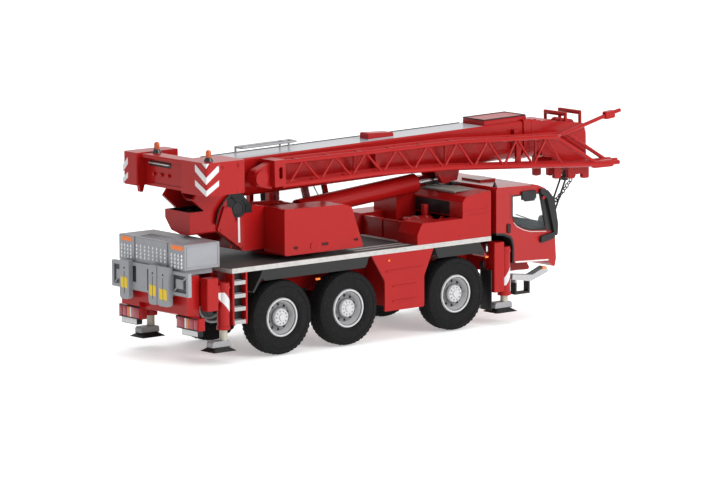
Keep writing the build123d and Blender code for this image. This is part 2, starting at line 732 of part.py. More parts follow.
# tail: two blocks with rounded corners, the recessed wall between them and its slotted hood
BLOCK_IN = 17.0
CORNER = 1.2
right_block = plan_prism(
    [
        (TAIL_REAR, -HALF_WIDTH, CORNER),
        (TAIL_FRONT, -HALF_WIDTH, CORNER),
        (TAIL_FRONT, -CHEEK_OUT - 0.05),
        (TAIL_REAR, -CHEEK_OUT - 0.05, 0.5),
    ],
    TAIL_Z0,
    TAIL_Z1,
)
left_block = plan_prism(
    [
        (TAIL_REAR - 1.0, BLOCK_IN, 0.5),
        (TAIL_FRONT, BLOCK_IN),
        (TAIL_FRONT, HALF_WIDTH, CORNER),
        (TAIL_REAR - 1.0, HALF_WIDTH, CORNER),
    ],
    TAIL_Z0,
    TAIL_Z1,
)
tail = right_block + left_block
WALL_X = -33.4
tail += box(WALL_X, -29.0, -10.2, BLOCK_IN + 0.2, TAIL_Z0, TAIL_Z1 - 0.4)
hood_edge = [
    (TAIL_REAR + 0.8, TAIL_Z1 - 1.6),
    (TAIL_REAR + 0.8, TAIL_Z1 - 0.4, 0.6),
    (-28.9, TAIL_Z1 - 0.4),
    (-28.9, TAIL_Z1 - 1.6),
]
tail += side_prism(hood_edge, -10.2, BLOCK_IN + 0.2)
tail += box(WALL_X, TAIL_FRONT, CHEEK_OUT + 0.05, BLOCK_IN + 0.2, TAIL_Z0, 73.9)
tail -= box(WALL_X - 1, WALL_X + 2.4, 1.0, 15.0, 73.2, 75.4)
for boss_y in (2.4, 7.0, 11.6):
    tail += x_cyl(boss_y, 70.2, 0.7, WALL_X - 0.8, WALL_X + 0.2)
tail += box(WALL_X - 0.4, WALL_X + 0.2, -8.0, 15.6, TAIL_Z0, TAIL_Z0 + 1.2)
for boss_x in (-28.8, -21.2):
    tail += y_cyl(boss_x, TAIL_Z1 - 2.2, 0.6, -HALF_WIDTH - 0.35, -HALF_WIDTH + 0.2)
tail += side_prism([(-36.0, TAIL_Z0 + 0.1), (-33.4, TAIL_Z0 + 0.1), (-34.2, 62.6, 0.4), (-35.6, 62.6, 0.4)], 18.0, 19.6)
add("tail_blocks", tail)

beacons = []
for beacon_y, beacon_x in ((14.5, -30.0), (-20.8, -32.0)):
    base_z = TAIL_Z1 if beacon_y < 0 else TAIL_Z1 - 0.4
    beacon = Pos(beacon_x, beacon_y, base_z + 0.7) * Cone(1.9, 1.3, 1.4)
    beacon += z_cyl(beacon_x, beacon_y, 1.1, base_z + 1.2, base_z + 3.3)
    beacon += Pos(beacon_x, beacon_y, base_z + 3.3) * Sphere(1.1)
    beacons.append(beacon)
add("beacons", beacons)

power = side_prism(
    [(3.2, 38.2, 0.8), (42.6, 38.2, 0.8), (36.8, 54.6, 2.0), (33.0, 55.8, 3.0), (3.2, 56.4, 0.8)],
    10.2,
    23.0,
)
power += y_cyl(17.0, 41.0, 1.2, 22.9, 23.3)
add("power_housing", mirrored(power))

op_profile = [
    (22.0, 38.4),
    (52.0, 38.4, 1.0),
    (54.0, 48.0, 4.0),
    (50.0, 64.0, 2.0),
    (46.0, 66.6, 2.0),
    (24.0, 66.6, 1.5),
    (22.0, 64.0, 1.0),
]
op_inner = [
    (23.0, 39.6),
    (51.0, 39.6, 0.6),
    (52.8, 48.0, 4.0),
    (49.0, 63.6, 1.5),
    (45.6, 65.6, 1.5),
    (24.4, 65.6, 1.0),
    (23.0, 63.6, 0.6),
]
op_cab = side_prism(op_profile, 10.4, 25.0)
op_cab -= side_prism(op_inner, 11.3, 24.1)
op_window = [(25.0, 50.0, 1.0), (51.0, 50.0, 1.0), (48.0, 62.6, 1.5), (45.4, 64.2, 1.0), (25.0, 64.2, 1.0)]
op_cab -= side_prism(op_window, 9.0, 12.0)
op_door = [
    (38.0, 42.5, 1.0),
    (50.6, 42.5, 1.0),
    (51.8, 48.6, 3.0),
    (48.0, 62.6, 1.5),
    (45.4, 64.2, 1.0),
    (38.0, 64.2, 1.0),
]
op_cab -= side_prism(op_door, 23.0, 26.0)
op_cab -= side_prism([(25.0, 50.0, 1.0), (36.6, 50.0, 1.0), (36.6, 64.2, 1.0), (25.0, 64.2, 1.0)], 23.0, 26.0)
op_cab -= side_prism([(50.0, 48.5), (56.0, 48.5), (52.4, 62.5), (47.0, 62.5)], 12.4, 23.0)
op_cab -= box(20.0, 24.5, 12.8, 22.8, 51.0, 62.0)
op_cab += box(28.0, 33.0, 10.0, 10.6, 42.0, 46.0)
add("operator_cab", op_cab)
op_seat = box(28.0, 36.0, 13.5, 21.5, 39.6, 46.0)
op_seat += side_prism([(27.0, 46.0), (29.4, 46.0), (27.8, 57.0), (26.2, 57.0)], 13.5, 21.5)
op_seat += box(27.0, 36.0, 13.5, 21.5, 44.5, 46.2)
add("operator_seat", op_seat)

drum = y_cyl(*WINCH, 1.9, -8.4, 0.8)
for flange_y in (-8.4, 0.0):
    drum += y_cyl(*WINCH, 2.9, flange_y, flange_y + 0.8)
add("winch_drum", drum)


# boom: nested hollow sections with a rounded keel
def section_solid(half, z0, z1, x0, x1):
    """One filled boom section: flat top, and a keel rounded by two arcs."""
    keel = (z1 - z0) * 0.4
    with BuildSketch(Plane.YZ) as sk:
        with BuildLine():
            Polyline((-half, z0 + keel), (-half, z1 - 0.6), (-half + 0.6, z1), (half - 0.6, z1))
            Polyline((half - 0.6, z1), (half, z1 - 0.6), (half, z0 + keel))
            ThreePointArc((half, z0 + keel), (half * 0.86, z0 + keel * 0.34), (half * 0.5, z0))
            Line((half * 0.5, z0), (-half * 0.5, z0))
            ThreePointArc((-half * 0.5, z0), (-half * 0.86, z0 + keel * 0.34), (-half, z0 + keel))
        make_face()
    return Pos(x0, 0, 0) * extrude(sk.sketch, x1 - x0)


def section_tube(half, z0, z1, x0, x1, wall):
    """One hollow boom section, open at both ends."""
    outer = section_solid(half, z0, z1, x0, x1)
    inner = section_solid(half - wall, z0 + wall, z1 - wall, x0 - 1, x1 + 1)
    return outer - inner


STEP = BOOM_WALL + SECTION_GAP
levels = []
for step in range(4):
    levels.append((BOOM_HALF - step * STEP, BOOM_BOTTOM + step * STEP, BOOM_TOP - step * STEP))

base = section_tube(*levels[0], BOOM_REAR, BOOM_FRONT, BOOM_WALL)
base += section_tube(BOOM_HALF + 0.6, BOOM_BOTTOM - 0.6, BOOM_TOP + 0.6, BOOM_FRONT - 4.0, BOOM_FRONT, 1.3)
base += y_cyl(PIVOT[0], PIVOT[1], 3.2, -7.8, -6.6) + y_cyl(PIVOT[0], PIVOT[1], 3.2, 6.6, 7.8)
base -= y_cyl(PIVOT[0], PIVOT[1], 1.8, -12, 12)
rod_lug_x = ROD_PIN[0]
lug_z = ROD_PIN[1] - (rod_lug_x - PIVOT[0]) * math.sin(math.radians(PITCH))
for side in (-1, 1):
    lug_y = side * 4.6
    base += side_prism(
        [
            (rod_lug_x - 6.0, BOOM_BOTTOM + 0.4),
            (rod_lug_x + 6.0, BOOM_BOTTOM + 0.4),
            (rod_lug_x + 1.8, lug_z - 1.6, 1.6),
            (rod_lug_x - 1.8, lug_z - 1.6, 1.6),
        ],
        lug_y - 0.9,
        lug_y + 0.9,
    )
base += y_cyl(rod_lug_x, lug_z, 1.2, -4.4, 4.4)
base += side_prism(
    [(60.5, BOOM_TOP - 0.1), (73.5, BOOM_TOP - 0.1), (73.5, BOOM_TOP + 2.0, 0.8), (60.5, BOOM_TOP + 2.8, 0.8)], -4.6, 0.6
)
cover = end_prism(
    [(-6.6, BOOM_TOP - 0.1), (6.6, BOOM_TOP - 0.1), (6.6, BOOM_TOP + 2.2, 0.9), (-6.6, BOOM_TOP + 2.2, 0.9)],
    119.5,
    142.0,
)
base += cover
base += side_prism(
    [
        (102.5, BOOM_BOTTOM + 0.2),
        (109.5, BOOM_BOTTOM + 0.2),
        (107.6, 54.1, 0.8),
        (104.4, 54.1, 0.8),
    ],
    -3.2,
    3.2,
)
RAIL_Y = 6.4
RAIL_Z = BOOM_TOP + 2.3
RAIL_R = 0.45
for rail_side in (RAIL_Y, RAIL_Y - 4.4):
    base += bar((2.4, rail_side, RAIL_Z), (29.0, rail_side, RAIL_Z), RAIL_R)
for post_x in (2.4, 24.5, 29.0):
    base += bar((post_x, RAIL_Y - 4.6, RAIL_Z), (post_x, RAIL_Y + 0.2, RAIL_Z), RAIL_R)
    base += z_cyl(post_x, RAIL_Y, RAIL_R, BOOM_TOP - 0.2, RAIL_Z)
for bracket_x in (6.0, 60.0, 134.0):
    base += box(bracket_x - 1.2, bracket_x + 1.2, -9.8, -7.6, 68.0, 72.5)
add("boom_base", pitched(base))

second = section_tube(*levels[1], -14.0, 146.4, BOOM_WALL)
second += section_tube(BOOM_HALF + 0.2, BOOM_BOTTOM - 0.2, BOOM_TOP + 0.2, 143.5, 146.4, 1.9)
add("boom_section_2", pitched(second))

third = section_tube(*levels[2], -12.0, 149.4, BOOM_WALL)
third += section_tube(BOOM_HALF - 0.6, BOOM_BOTTOM + 0.6, BOOM_TOP - 0.6, 146.7, 149.4, 2.1)
add("boom_section_3", pitched(third))

head = section_solid(*levels[3], -10.0, 152.0)
head -= section_solid(levels[3][0] - 0.8, levels[3][1] + 0.8, levels[3][2] - 0.8, -11.0, 140.0)
head += section_solid(7.0, 59.0, 74.2, 149.7, 156.0)
head_cheek = [
    (150.0, 60.0),
    (150.0, 74.2),
    (158.0, 73.4, 4.0),
    (173.0, 71.2, 2.0),
    (174.2, 67.0, 2.0),
    (174.2, 55.6, 2.0),
    (172.6, 50.4, 1.2),
    (168.0, 50.2, 1.2),
    (163.5, 56.5, 3.0),
]
for cheek_y in (-6.2, 6.2):
    head += side_prism(head_cheek, cheek_y - 0.8, cheek_y + 0.8)
head += box(154.0, 160.0, -6.0, 6.0, 66.0, 72.5)
TOP_PIN = (167.4, 70.6)
for pin_x, pin_z, sheave_r in ((*TOP_PIN, 2.6), (*HOOK_PIN, SHEAVE_R)):
    for sheave_y in (-3.8, -1.3, 1.3, 3.8):
        with BuildSketch(Plane.YZ) as sk:
            with BuildLine():
                Polyline(
                    (sheave_y - 0.9, 0),
                    (sheave_y - 0.9, sheave_r),
                    (sheave_y - 0.6, sheave_r),
                    (sheave_y, sheave_r - 0.6),
                    (sheave_y + 0.6, sheave_r),
                    (sheave_y + 0.9, sheave_r),
                    (sheave_y + 0.9, 0),
                    close=True,
                )
            make_face()
        head += Pos(pin_x, 0, pin_z) * revolve(sk.sketch, axis=Axis.Y)
    head += y_cyl(pin_x, pin_z, 0.9, -6.2, 6.2)
head += box(160.0, 172.0, -5.6, 5.6, 63.0, 65.0)
for post_x in (163.8, 171.7):
    for side in (-1, 1):
        head += z_cyl(post_x, side * 6.2, 0.7, 70.0, 76.4)
    head += y_cyl(post_x, 75.6, 0.9, -6.2, 6.2)
for lug_x, lug_z0, lug_z1 in ((158.6, 49.6, 66.0), (166.2, 48.8, 56.0), (173.9, 48.2, 56.0)):
    for side in (-1, 1):
        lug = side_prism(
            [
                (lug_x - 1.8, lug_z0, 0.8),
                (lug_x + 1.8, lug_z0, 0.8),
                (lug_x + 1.8, lug_z1),
                (lug_x - 1.8, lug_z1),
            ],
            side * 6.2 - 0.8,
            side * 6.2 + 0.8,
        )
        head += lug
for side in (-1, 1):
    head += box(156.8, 166.0, side * 6.2 - 0.8, side * 6.2 + 0.8, 55.0, 61.0)
add("boom_head", pitched(head))


# lattice jib, folded along the right of the boom, its two chords bent in side view
JIB_LOW = ((2.0, 64.5), (54.0, 64.2), (91.0, 62.4), (171.0, 55.4), (186.0, 54.6))
JIB_HIGH = ((2.0, 73.7), (97.7, 72.2), (150.0, 68.9), (160.5, 68.6))


def jib_z(x, knots):
    """Chord height at x in the level boom, on the line between two knots."""
    for (xa, za), (xb, zb) in zip(knots, knots[1:]):
        if x <= xb:
            return za + (zb - za) * (x - xa) / (xb - xa)
    return knots[-1][1]


def chord(y, knots, first, last, r):
    """One bent chord tube from x first to x last."""
    stops = [first] + [x for x, z in knots if first < x < last] + [last]
    tube = None
    for xa, xb in zip(stops, stops[1:]):
        piece = bar((xa, y, jib_z(xa, knots)), (xb, y, jib_z(xb, knots)), r)
        tube = piece if tube is None else tube + piece + Pos(xa, y, jib_z(xa, knots)) * Sphere(r)
    return tube


NEAR = -17.6
FAR = -10.7
LACE_R = 0.5
jib = chord(NEAR, JIB_LOW, 6.0, 177.0, 1.1)
jib += chord(FAR, JIB_LOW, 6.0, 183.0, 1.1)
jib += chord(NEAR, JIB_HIGH, 6.0, 148.6, 0.9)
jib += chord(FAR, JIB_HIGH, 6.0, 160.5, 0.9)
LACE_FIRST = 9.5
LACE_PITCH = 15.8
LACE_LEAD = 7.2
for bay in range(9):
    low_x = LACE_FIRST + LACE_PITCH * bay
    high_x = low_x + LACE_LEAD
    next_x = low_x + LACE_PITCH
    crown = (high_x, NEAR, jib_z(high_x, JIB_HIGH))
    jib += bar((low_x, NEAR, jib_z(low_x, JIB_LOW)), crown, LACE_R)
    jib += bar(crown, (next_x, NEAR, jib_z(next_x, JIB_LOW)), LACE_R)
    for strut_x, knots in ((low_x, JIB_LOW), (high_x, JIB_HIGH)):
        strut_z = jib_z(strut_x, knots)
        jib += bar((strut_x, NEAR, strut_z), (strut_x, FAR, strut_z), LACE_R)
for x_low, x_high in ((9.5, 9.5), (48.0, 48.0), (95.0, 95.0), (143.0, 143.0)):
    jib += bar((x_low, FAR, jib_z(x_low, JIB_LOW)), (x_high, FAR, jib_z(x_high, JIB_HIGH)), LACE_R)
jib += bar((148.0, NEAR, jib_z(148.0, JIB_HIGH)), (171.0, NEAR, jib_z(171.0, JIB_LOW)), 0.8)
jib += bar((160.0, FAR, jib_z(160.0, JIB_HIGH)), (182.5, FAR, jib_z(182.5, JIB_LOW)), 0.8)
jib += bar((148.0, NEAR, jib_z(148.0, JIB_HIGH)), (160.0, FAR, jib_z(160.0, JIB_HIGH)), 0.7)
jib += bar((171.0, NEAR, jib_z(171.0, JIB_LOW)), (171.0, FAR, jib_z(171.0, JIB_LOW)), 0.7)
root = box(2.0, 7.4, -18.6, -9.9, 64.4, 74.8)
root -= side_prism([(4.2, 67.4, 0.7), (5.9, 67.4, 0.7), (5.9, 72.0, 0.7), (4.2, 72.0, 0.7)], -20, -9)
jib += root
jib += side_prism([(-5.5, 65.4, 1.5), (2.4, 63.4), (2.4, 73.9), (-5.5, 71.5, 1.5)], -16.0, -12.4)
jib += y_cyl(-3.0, 68.2, 2.9, -17.0, -11.4)
for arm_y, arm_x in ((NEAR, 171.0), (FAR, 176.0)):
    arm_z = jib_z(arm_x, JIB_LOW)
    jib += side_prism(
        [
            (arm_x - 3.0, arm_z - 1.4, 0.8),
            (arm_x + 8.0, arm_z - 1.7, 0.8),
            (arm_x + 8.0, arm_z + 1.2, 0.8),
            (arm_x - 3.0, arm_z + 1.4, 0.8),
        ],
        arm_y - 0.9,
        arm_y + 0.9,
    )
    jib += bar((arm_x + 7.0, arm_y, arm_z - 0.3), (arm_x + 11.6, arm_y, arm_z - 0.4), 0.9)
spike_y = -14.2
spike_foot = (154.0, spike_y, jib_z(154.0, JIB_HIGH))
jib += bar(spike_foot, (179.0, spike_y, 74.4), 0.8)
jib += bar((179.0, spike_y, 74.6), (186.6, spike_y, 75.8), 0.8)
jib += side_prism(
    [(178.0, 72.8, 0.5), (183.0, 73.2, 0.5), (183.0, 76.3, 0.5), (178.0, 75.9, 0.5)], spike_y - 1.1, spike_y + 1.1
)
for bracket_x in (6.0, 60.0, 134.0):
    low_z, high_z = jib_z(bracket_x, JIB_LOW), jib_z(bracket_x, JIB_HIGH)
    jib += box(bracket_x - 1.2, bracket_x + 1.2, -11.0, -9.8, low_z, high_z)
add("lattice_jib", pitched(jib))

# luffing cylinder
bx, bz = BARREL_PIN
rx, rz = ROD_PIN
span = math.hypot(rx - bx, rz - bz)
ux, uz = (rx - bx) / span, (rz - bz) / span


def along(distance):
    """A point on the cylinder's line, this far from the barrel pin."""
    return (bx + ux * distance, 0, bz + uz * distance)


barrel = bar(along(4.0), along(64.0), BARREL_R) + y_cyl(bx, bz, 3.4, -4.6, 4.6)
barrel -= y_cyl(bx, bz, 1.6, -6, 6)
barrel -= bar(along(7.0), along(66.0), ROD_R + 0.2)
add("luff_barrel", barrel)
rod = bar(along(8.0), along(span - 1.8), ROD_R) + y_cyl(rx, rz, 2.6, -3.4, 3.4)
rod -= y_cyl(rx, rz, 1.5, -5, 5)
add("luff_rod", rod)

# hook block, slung back from the head toward the cab, its eye on the lower sheave pin
pitch_sin = math.sin(math.radians(PITCH))
pitch_cos = math.cos(math.radians(PITCH))
pin_dx = HOOK_PIN[0] - PIVOT[0]
pin_dz = HOOK_PIN[1] - PIVOT[1]
eye_x = PIVOT[0] + pin_dx * pitch_cos - pin_dz * pitch_sin
eye_z = PIVOT[1] + pin_dx * pitch_sin + pin_dz * pitch_cos
hook = y_cyl(159.5, 34.0, 2.6, -3.0, 3.0)
hook += side_prism([(157.2, 31.6, 1.2), (161.8, 31.6, 1.2), (161.4, 36.8, 1.6), (157.6, 36.8, 1.6)], -3.6, 3.6)
hook += bar((159.5, 0, 34.0), (159.0, 0, 28.0), 0.9)
hook += Pos(158.6, 0, 26.4) * Rot(90, 0, 0) * Torus(1.9, 0.7)
for fall_y in (-1.6, 1.6):
    hook += bar((168.2, fall_y, 52.0), (160.5, fall_y, 35.5), 0.4)
hook += box(167.4, 169.0, -2.0, 2.0, 51.0, 52.6)
strap = side_prism([(167.5, 52.0), (169.0, 52.0), (eye_x + 1.2, eye_z), (eye_x - 1.2, eye_z)], -0.35, 0.35)
hook += strap + y_cyl(eye_x, eye_z, 1.7, -0.35, 0.35)
hook -= y_cyl(eye_x, eye_z, 1.05, -2, 2)
add("hook_block", hook)

UNRAISED = ("tyre", "rim", "knuckle", "axle_beams")
for name, solids in parts.items():
    lift = 0 if name.startswith(UNRAISED) else RIDE
    moved = [Pos(X_SHIFT, 0, lift) * solid for solid in solids]
    shape = moved[0] if len(moved) == 1 else Compound(children=moved)
    export_step(shape, f"parts/{name}.step")
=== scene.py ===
"""Looks for the 1:50 display model of a red three-axle mobile crane.

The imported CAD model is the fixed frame. This script dresses its nodes in finishes and adds the tyres,
glass, stripes, lamps, ropes and small fittings that the solids leave out.
"""

import json
import logging
import math
from collections.abc import Iterable, Sequence
from dataclasses import dataclass, field
from enum import Enum

import bmesh
import bpy
from mathutils import Matrix, Vector

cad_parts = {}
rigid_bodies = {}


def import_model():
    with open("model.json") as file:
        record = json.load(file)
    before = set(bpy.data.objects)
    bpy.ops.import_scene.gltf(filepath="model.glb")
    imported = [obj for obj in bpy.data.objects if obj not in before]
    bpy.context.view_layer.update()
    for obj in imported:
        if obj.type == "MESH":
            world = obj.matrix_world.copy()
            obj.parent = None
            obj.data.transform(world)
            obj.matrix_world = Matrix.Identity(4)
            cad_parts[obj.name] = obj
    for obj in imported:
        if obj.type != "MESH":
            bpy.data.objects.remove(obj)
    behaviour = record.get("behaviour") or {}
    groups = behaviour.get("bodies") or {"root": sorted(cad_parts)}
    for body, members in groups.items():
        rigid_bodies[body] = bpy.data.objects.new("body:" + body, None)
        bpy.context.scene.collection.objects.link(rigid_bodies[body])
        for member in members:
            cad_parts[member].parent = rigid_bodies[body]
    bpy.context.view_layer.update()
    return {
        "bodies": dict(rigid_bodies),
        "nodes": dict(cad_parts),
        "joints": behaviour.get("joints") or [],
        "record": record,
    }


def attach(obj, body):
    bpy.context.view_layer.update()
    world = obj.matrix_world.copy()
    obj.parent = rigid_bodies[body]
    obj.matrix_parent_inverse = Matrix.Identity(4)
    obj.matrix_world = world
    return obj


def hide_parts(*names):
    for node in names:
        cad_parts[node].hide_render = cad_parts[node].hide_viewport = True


log = logging.getLogger("crane")

MM = 0.001
PHOTO_WIDTH_PX = 720
SENSOR_MM = 36.0

# Sizes are in millimetres, forward of the rear axle, to the left of the middle and above the ground.
# X_SHIFT leads from there to the shared frame, whose zero is the middle of the model's length.
X_SHIFT = -70.43
BOOM_PIN = (-18.5, 70.0)
BOOM_PITCH = math.radians(1.1)
WHEEL_X = (88.4, 33.2, 0.0)
HALF_WIDTH = 25.8
TYRE_R = 14.9
TYRE_W = 8.6
RIM_R = 7.7
SIDE_Y = 25.2
BOOM_TOP = 75.4
BALLAST_REAR = -44.1
RACK_POST_REAR = -47.0

Point = tuple[float, float, float]
Route = tuple[Point, ...]
Outline = tuple[tuple[float, float], ...]


def at(x: float, y: float, z: float) -> Vector:
    """Turn millimetres from the rear axle into the frame's metres.

    Args:
        x: forward of the rear axle.
        y: to the left of the middle.
        z: above the ground.

    Returns:
        The point in the shared frame.
    """
    return Vector(((x + X_SHIFT) * MM, y * MM, z * MM))


def route(points: Route) -> list[Vector]:
    """Turn a row of points into the frame's metres."""
    return [at(*point) for point in points]


def on_boom(x: float, y: float, z: float) -> Vector:
    """Place a point that is given in the level boom on the pitched one.

    Args:
        x: forward of the rear axle, level boom.
        y: to the left of the middle.
        z: above the ground, level boom.

    Returns:
        The point in the shared frame.
    """
    dx, dz = x - BOOM_PIN[0], z - BOOM_PIN[1]
    c, s = math.cos(BOOM_PITCH), math.sin(BOOM_PITCH)
    return at(BOOM_PIN[0] + dx * c - dz * s, y, BOOM_PIN[1] + dx * s + dz * c)


def span(sign: float, near: float, far: float) -> tuple[float, float]:
    """Two distances from the middle, on one side, as a rising pair of Y.

    Args:
        sign: the side, 1 for left.
        near: one distance.
        far: the other distance.

    Returns:
        The pair.
    """
    low, high = sorted((sign * near, sign * far))
    return low, high


class Side(Enum):
    """A side of the vehicle, as the sign of its Y."""

    LEFT = 1
    RIGHT = -1

    @property
    def word(self) -> str:
        """The side's name in node names."""
        return self.name.lower()


class Value:
    """One shader socket, so that maths on it reads as Python."""

    def __init__(self, recipe: "NodeTree", socket: bpy.types.NodeSocket) -> None:
        """Wrap a socket of a node tree."""
        self.recipe = recipe
        self.socket = socket

    def _math(self, operation: str, *terms: "Value | float") -> "Value":
        """Add one Math node over the terms."""
        made = self.recipe.node("ShaderNodeMath", {"operation": operation}, dict(enumerate(terms)))
        return Value(self.recipe, made.outputs[0])

    def __add__(self, other: "Value | float") -> "Value":
        """Sum."""
        return self._math("ADD", self, other)

    def __radd__(self, other: float) -> "Value":
        """Reflected sum."""
        return self._math("ADD", other, self)

    def __sub__(self, other: "Value | float") -> "Value":
        """Difference."""
        return self._math("SUBTRACT", self, other)

    def __rsub__(self, other: float) -> "Value":
        """Reflected difference."""
        return self._math("SUBTRACT", other, self)

    def __mul__(self, other: "Value | float") -> "Value":
        """Product."""
        return self._math("MULTIPLY", self, other)

    def __rmul__(self, other: float) -> "Value":
        """Reflected product."""
        return self._math("MULTIPLY", other, self)

    def __truediv__(self, other: "Value | float") -> "Value":
        """Quotient."""
        return self._math("DIVIDE", self, other)

    def __abs__(self) -> "Value":
        """Absolute value."""
        return self._math("ABSOLUTE", self)

    def above(self, edge: float) -> "Value":
        """One where the value passes the edge, else nothing."""
        return self._math("GREATER_THAN", self, edge)

    def below(self, edge: float) -> "Value":
        """One where the value is under the edge, else nothing."""
        return self._math("LESS_THAN", self, edge)

    def wave(self) -> "Value":
        """Sine of the value."""
        return self._math("SINE", self)

    def least(self, other: "Value | float") -> "Value":
        """The smaller of two values."""
        return self._math("MINIMUM", self, other)

    def ramp(self, low: float, high: float) -> "Value":
        """Stretch low to high over 0 to 1, smoothly and clamped.

        Args:
            low: value that becomes 0.
            high: value that becomes 1.

        Returns:
            The stretched value.
        """
        made = self.recipe.node(
            "ShaderNodeMapRange",
            {"interpolation_type": "SMOOTHSTEP"},
            {"Value": self, "From Min": low, "From Max": high},
        )
        return Value(self.recipe, made.outputs[0])


Colour = tuple[float, float, float]

BLACK_OUT = (0.0, 0.0, 0.0)
PAINT_DUST = (0.7, 0.6, 0.56)
ROAD_DUST = (0.035, 0.034, 0.034)
RED_BASE = (0.34, 0.006, 0.006)
INK = (0.012, 0.012, 0.013)
PALE = (0.4, 0.4, 0.4)
WHITE_BASE = (0.62, 0.62, 0.63)
GREY_BASE = (0.275, 0.28, 0.3)
SILVER_BASE = (0.36, 0.36, 0.37)


class NodeTree:
    """A node tree in the making."""

    def __init__(self, tree: bpy.types.NodeTree) -> None:
        """Work on a tree that is there already."""
        self.tree = tree

    def node(self, kind: str, settings: dict, inputs: dict) -> bpy.types.Node:
        """Add any node.

        Args:
            kind: the node's type.
            settings: properties set on the node first.
            inputs: socket name or index to a value, a colour or a Value to link.

        Returns:
            The new node.
        """
        made = self.tree.nodes.new(kind)
        for name, setting in settings.items():
            setattr(made, name, setting)
        for name, value in inputs.items():
            if isinstance(value, Value):
                self.tree.links.new(value.socket, made.inputs[name])
            else:
                made.inputs[name].default_value = value
        return made


class Recipe(NodeTree):
    """A material's node tree, built round one Principled shader."""

    def __init__(self, name: str) -> None:
        """Start an empty material with its shader and output."""
        self.material = bpy.data.materials.new(name)
        self.material.use_nodes = True
        super().__init__(self.material.node_tree)
        self.tree.nodes.clear()
        self.shader = self.tree.nodes.new("ShaderNodeBsdfPrincipled")
        output = self.tree.nodes.new("ShaderNodeOutputMaterial")
        self.tree.links.new(self.shader.outputs[0], output.inputs[0])

    def position(self) -> tuple[Value, Value, Value]:
        """The point's X, Y and Z in millimetres from the rear axle's middle on the ground."""
        coords = self.node("ShaderNodeTexCoord", {}, {})
        split = self.node("ShaderNodeSeparateXYZ", {}, {0: Value(self, coords.outputs["Object"])})
        x, y, z = (Value(self, socket) / MM for socket in split.outputs)
        return x - X_SHIFT, y, z

    def noise(self, scale: float, detail: float = 3.0, roughness: float = 0.55) -> Value:
        """Cloudy noise from 0 to 1 on Object coordinates.

        Args:
            scale: features per metre.
            detail: number of octaves.
            roughness: weight of the fine octaves.

        Returns:
            The noise.
        """
        coords = self.node("ShaderNodeTexCoord", {}, {})
        made = self.node(
            "ShaderNodeTexNoise",
            {},
            {
                "Vector": Value(self, coords.outputs["Object"]),
                "Scale": scale,
                "Detail": detail,
                "Roughness": roughness,
            },
        )
        return Value(self, made.outputs[0])

    def blend(self, share: Value, first: "Colour | Value", second: "Colour | Value") -> Value:
        """Mix two colours.

        Args:
            share: 0 gives the first, 1 the second.
            first: a colour.
            second: a colour.

        Returns:
            The mixed colour.
        """
        made = self.node("ShaderNodeMix", {"data_type": "RGBA"}, {0: share})
        for index, colour in ((6, first), (7, second)):
            if isinstance(colour, Value):
                self.tree.links.new(colour.socket, made.inputs[index])
            else:
                made.inputs[index].default_value = (*colour, 1.0)
        return Value(self, made.outputs[2])

    def feed(self, **sockets: "Value | float | Colour") -> None:
        """Set or link sockets of the shader, with spaces written as underscores."""
        for name, value in sockets.items():
            socket = self.shader.inputs[name.replace("_", " ")]
            if isinstance(value, Value):
                self.tree.links.new(value.socket, socket)
            elif isinstance(value, tuple):
                socket.default_value = (*value, 1.0)
            else:
                socket.default_value = value

    def bump(self, height: Value, depth: float, strength: float) -> None:
        """Feed a height in 0 to 1 to the shader's normal.

        Args:
            height: the relief.
            depth: its real depth in metres.
            strength: how much of it shows.
        """
        made = self.node("ShaderNodeBump", {}, {"Strength": strength, "Distance": depth, "Height": height})
        self.tree.links.new(made.outputs[0], self.shader.inputs["Normal"])


Plane = tuple[float, float, float, float]


def within(
    x: tuple[float, float] | None = None,
    y: tuple[float, float] | None = None,
    z: tuple[float, float] | None = None,
) -> tuple[Plane, ...]:
    """Planes of a box, in millimetres from the rear axle.

    Args:
        x: its range along the vehicle, or None where open.
        y: its range across.
        z: its range upwards.

    Returns:
        The planes, each (a, b, c, d) holding where a * x + b * y + c * z > d.
    """
    planes = []
    for index, span in enumerate((x, y, z)):
        if span is not None:
            way = [0.0, 0.0, 0.0]
            way[index] = 1.0
            planes.append((*way, span[0]))
            planes.append((*(-w for w in way), -span[1]))
    return tuple(planes)


def slanted(slope: float, x0: float, low: float, high: float) -> tuple[Plane, ...]:
    """Planes of a band in side view.

    Args:
        slope: its rise per length.
        x0: where its lower and upper edge pass low and high.
        low: height of its lower edge there.
        high: height of its upper edge there.

    Returns:
        The two planes.
    """
    return (-slope, 0.0, 1.0, low - slope * x0), (slope, 0.0, -1.0, slope * x0 - high)


@dataclass(frozen=True)
class Zone:
    """Part of a node that wears another colour: where all of its planes hold."""

    colour: Colour
    planes: tuple[Plane, ...] = ()
    both_sides: bool = False
    roughness: float = 0.42
    metallic: float = 0.0

    def share(self, recipe: Recipe) -> Value:
        """One inside the zone, else nothing.

        Args:
            recipe: the material in the making.

        Returns:
            The mask.
        """
        x, y, z = recipe.position()
        if self.both_sides:
            y = abs(y)
        mask = None
        for a, b, c, d in self.planes:
            terms = [term * weight for term, weight in ((x, a), (y, b), (z, c)) if weight]
            total = terms[0]
            for term in terms[1:]:
                total = total + term
            inside = total.above(d)
            mask = inside if mask is None else mask * inside
        return mask


@dataclass(frozen=True)
class WheelBand(Zone):
    """A ring on every wheel's face, between two radii in millimetres."""

    inner: float = 0.0
    outer: float = 1.0

    def share(self, recipe: Recipe) -> Value:
        """One inside the ring, else nothing.

        Args:
            recipe: the material in the making.

        Returns:
            The mask.
        """
        x, _, z = recipe.position()
        near = None
        for axle in WHEEL_X:
            off = abs(x - axle)
            near = off if near is None else near.least(off)
        reach = near * near + (z - TYRE_R) * (z - TYRE_R)
        return reach.above(self.inner**2) * reach.below(self.outer**2)


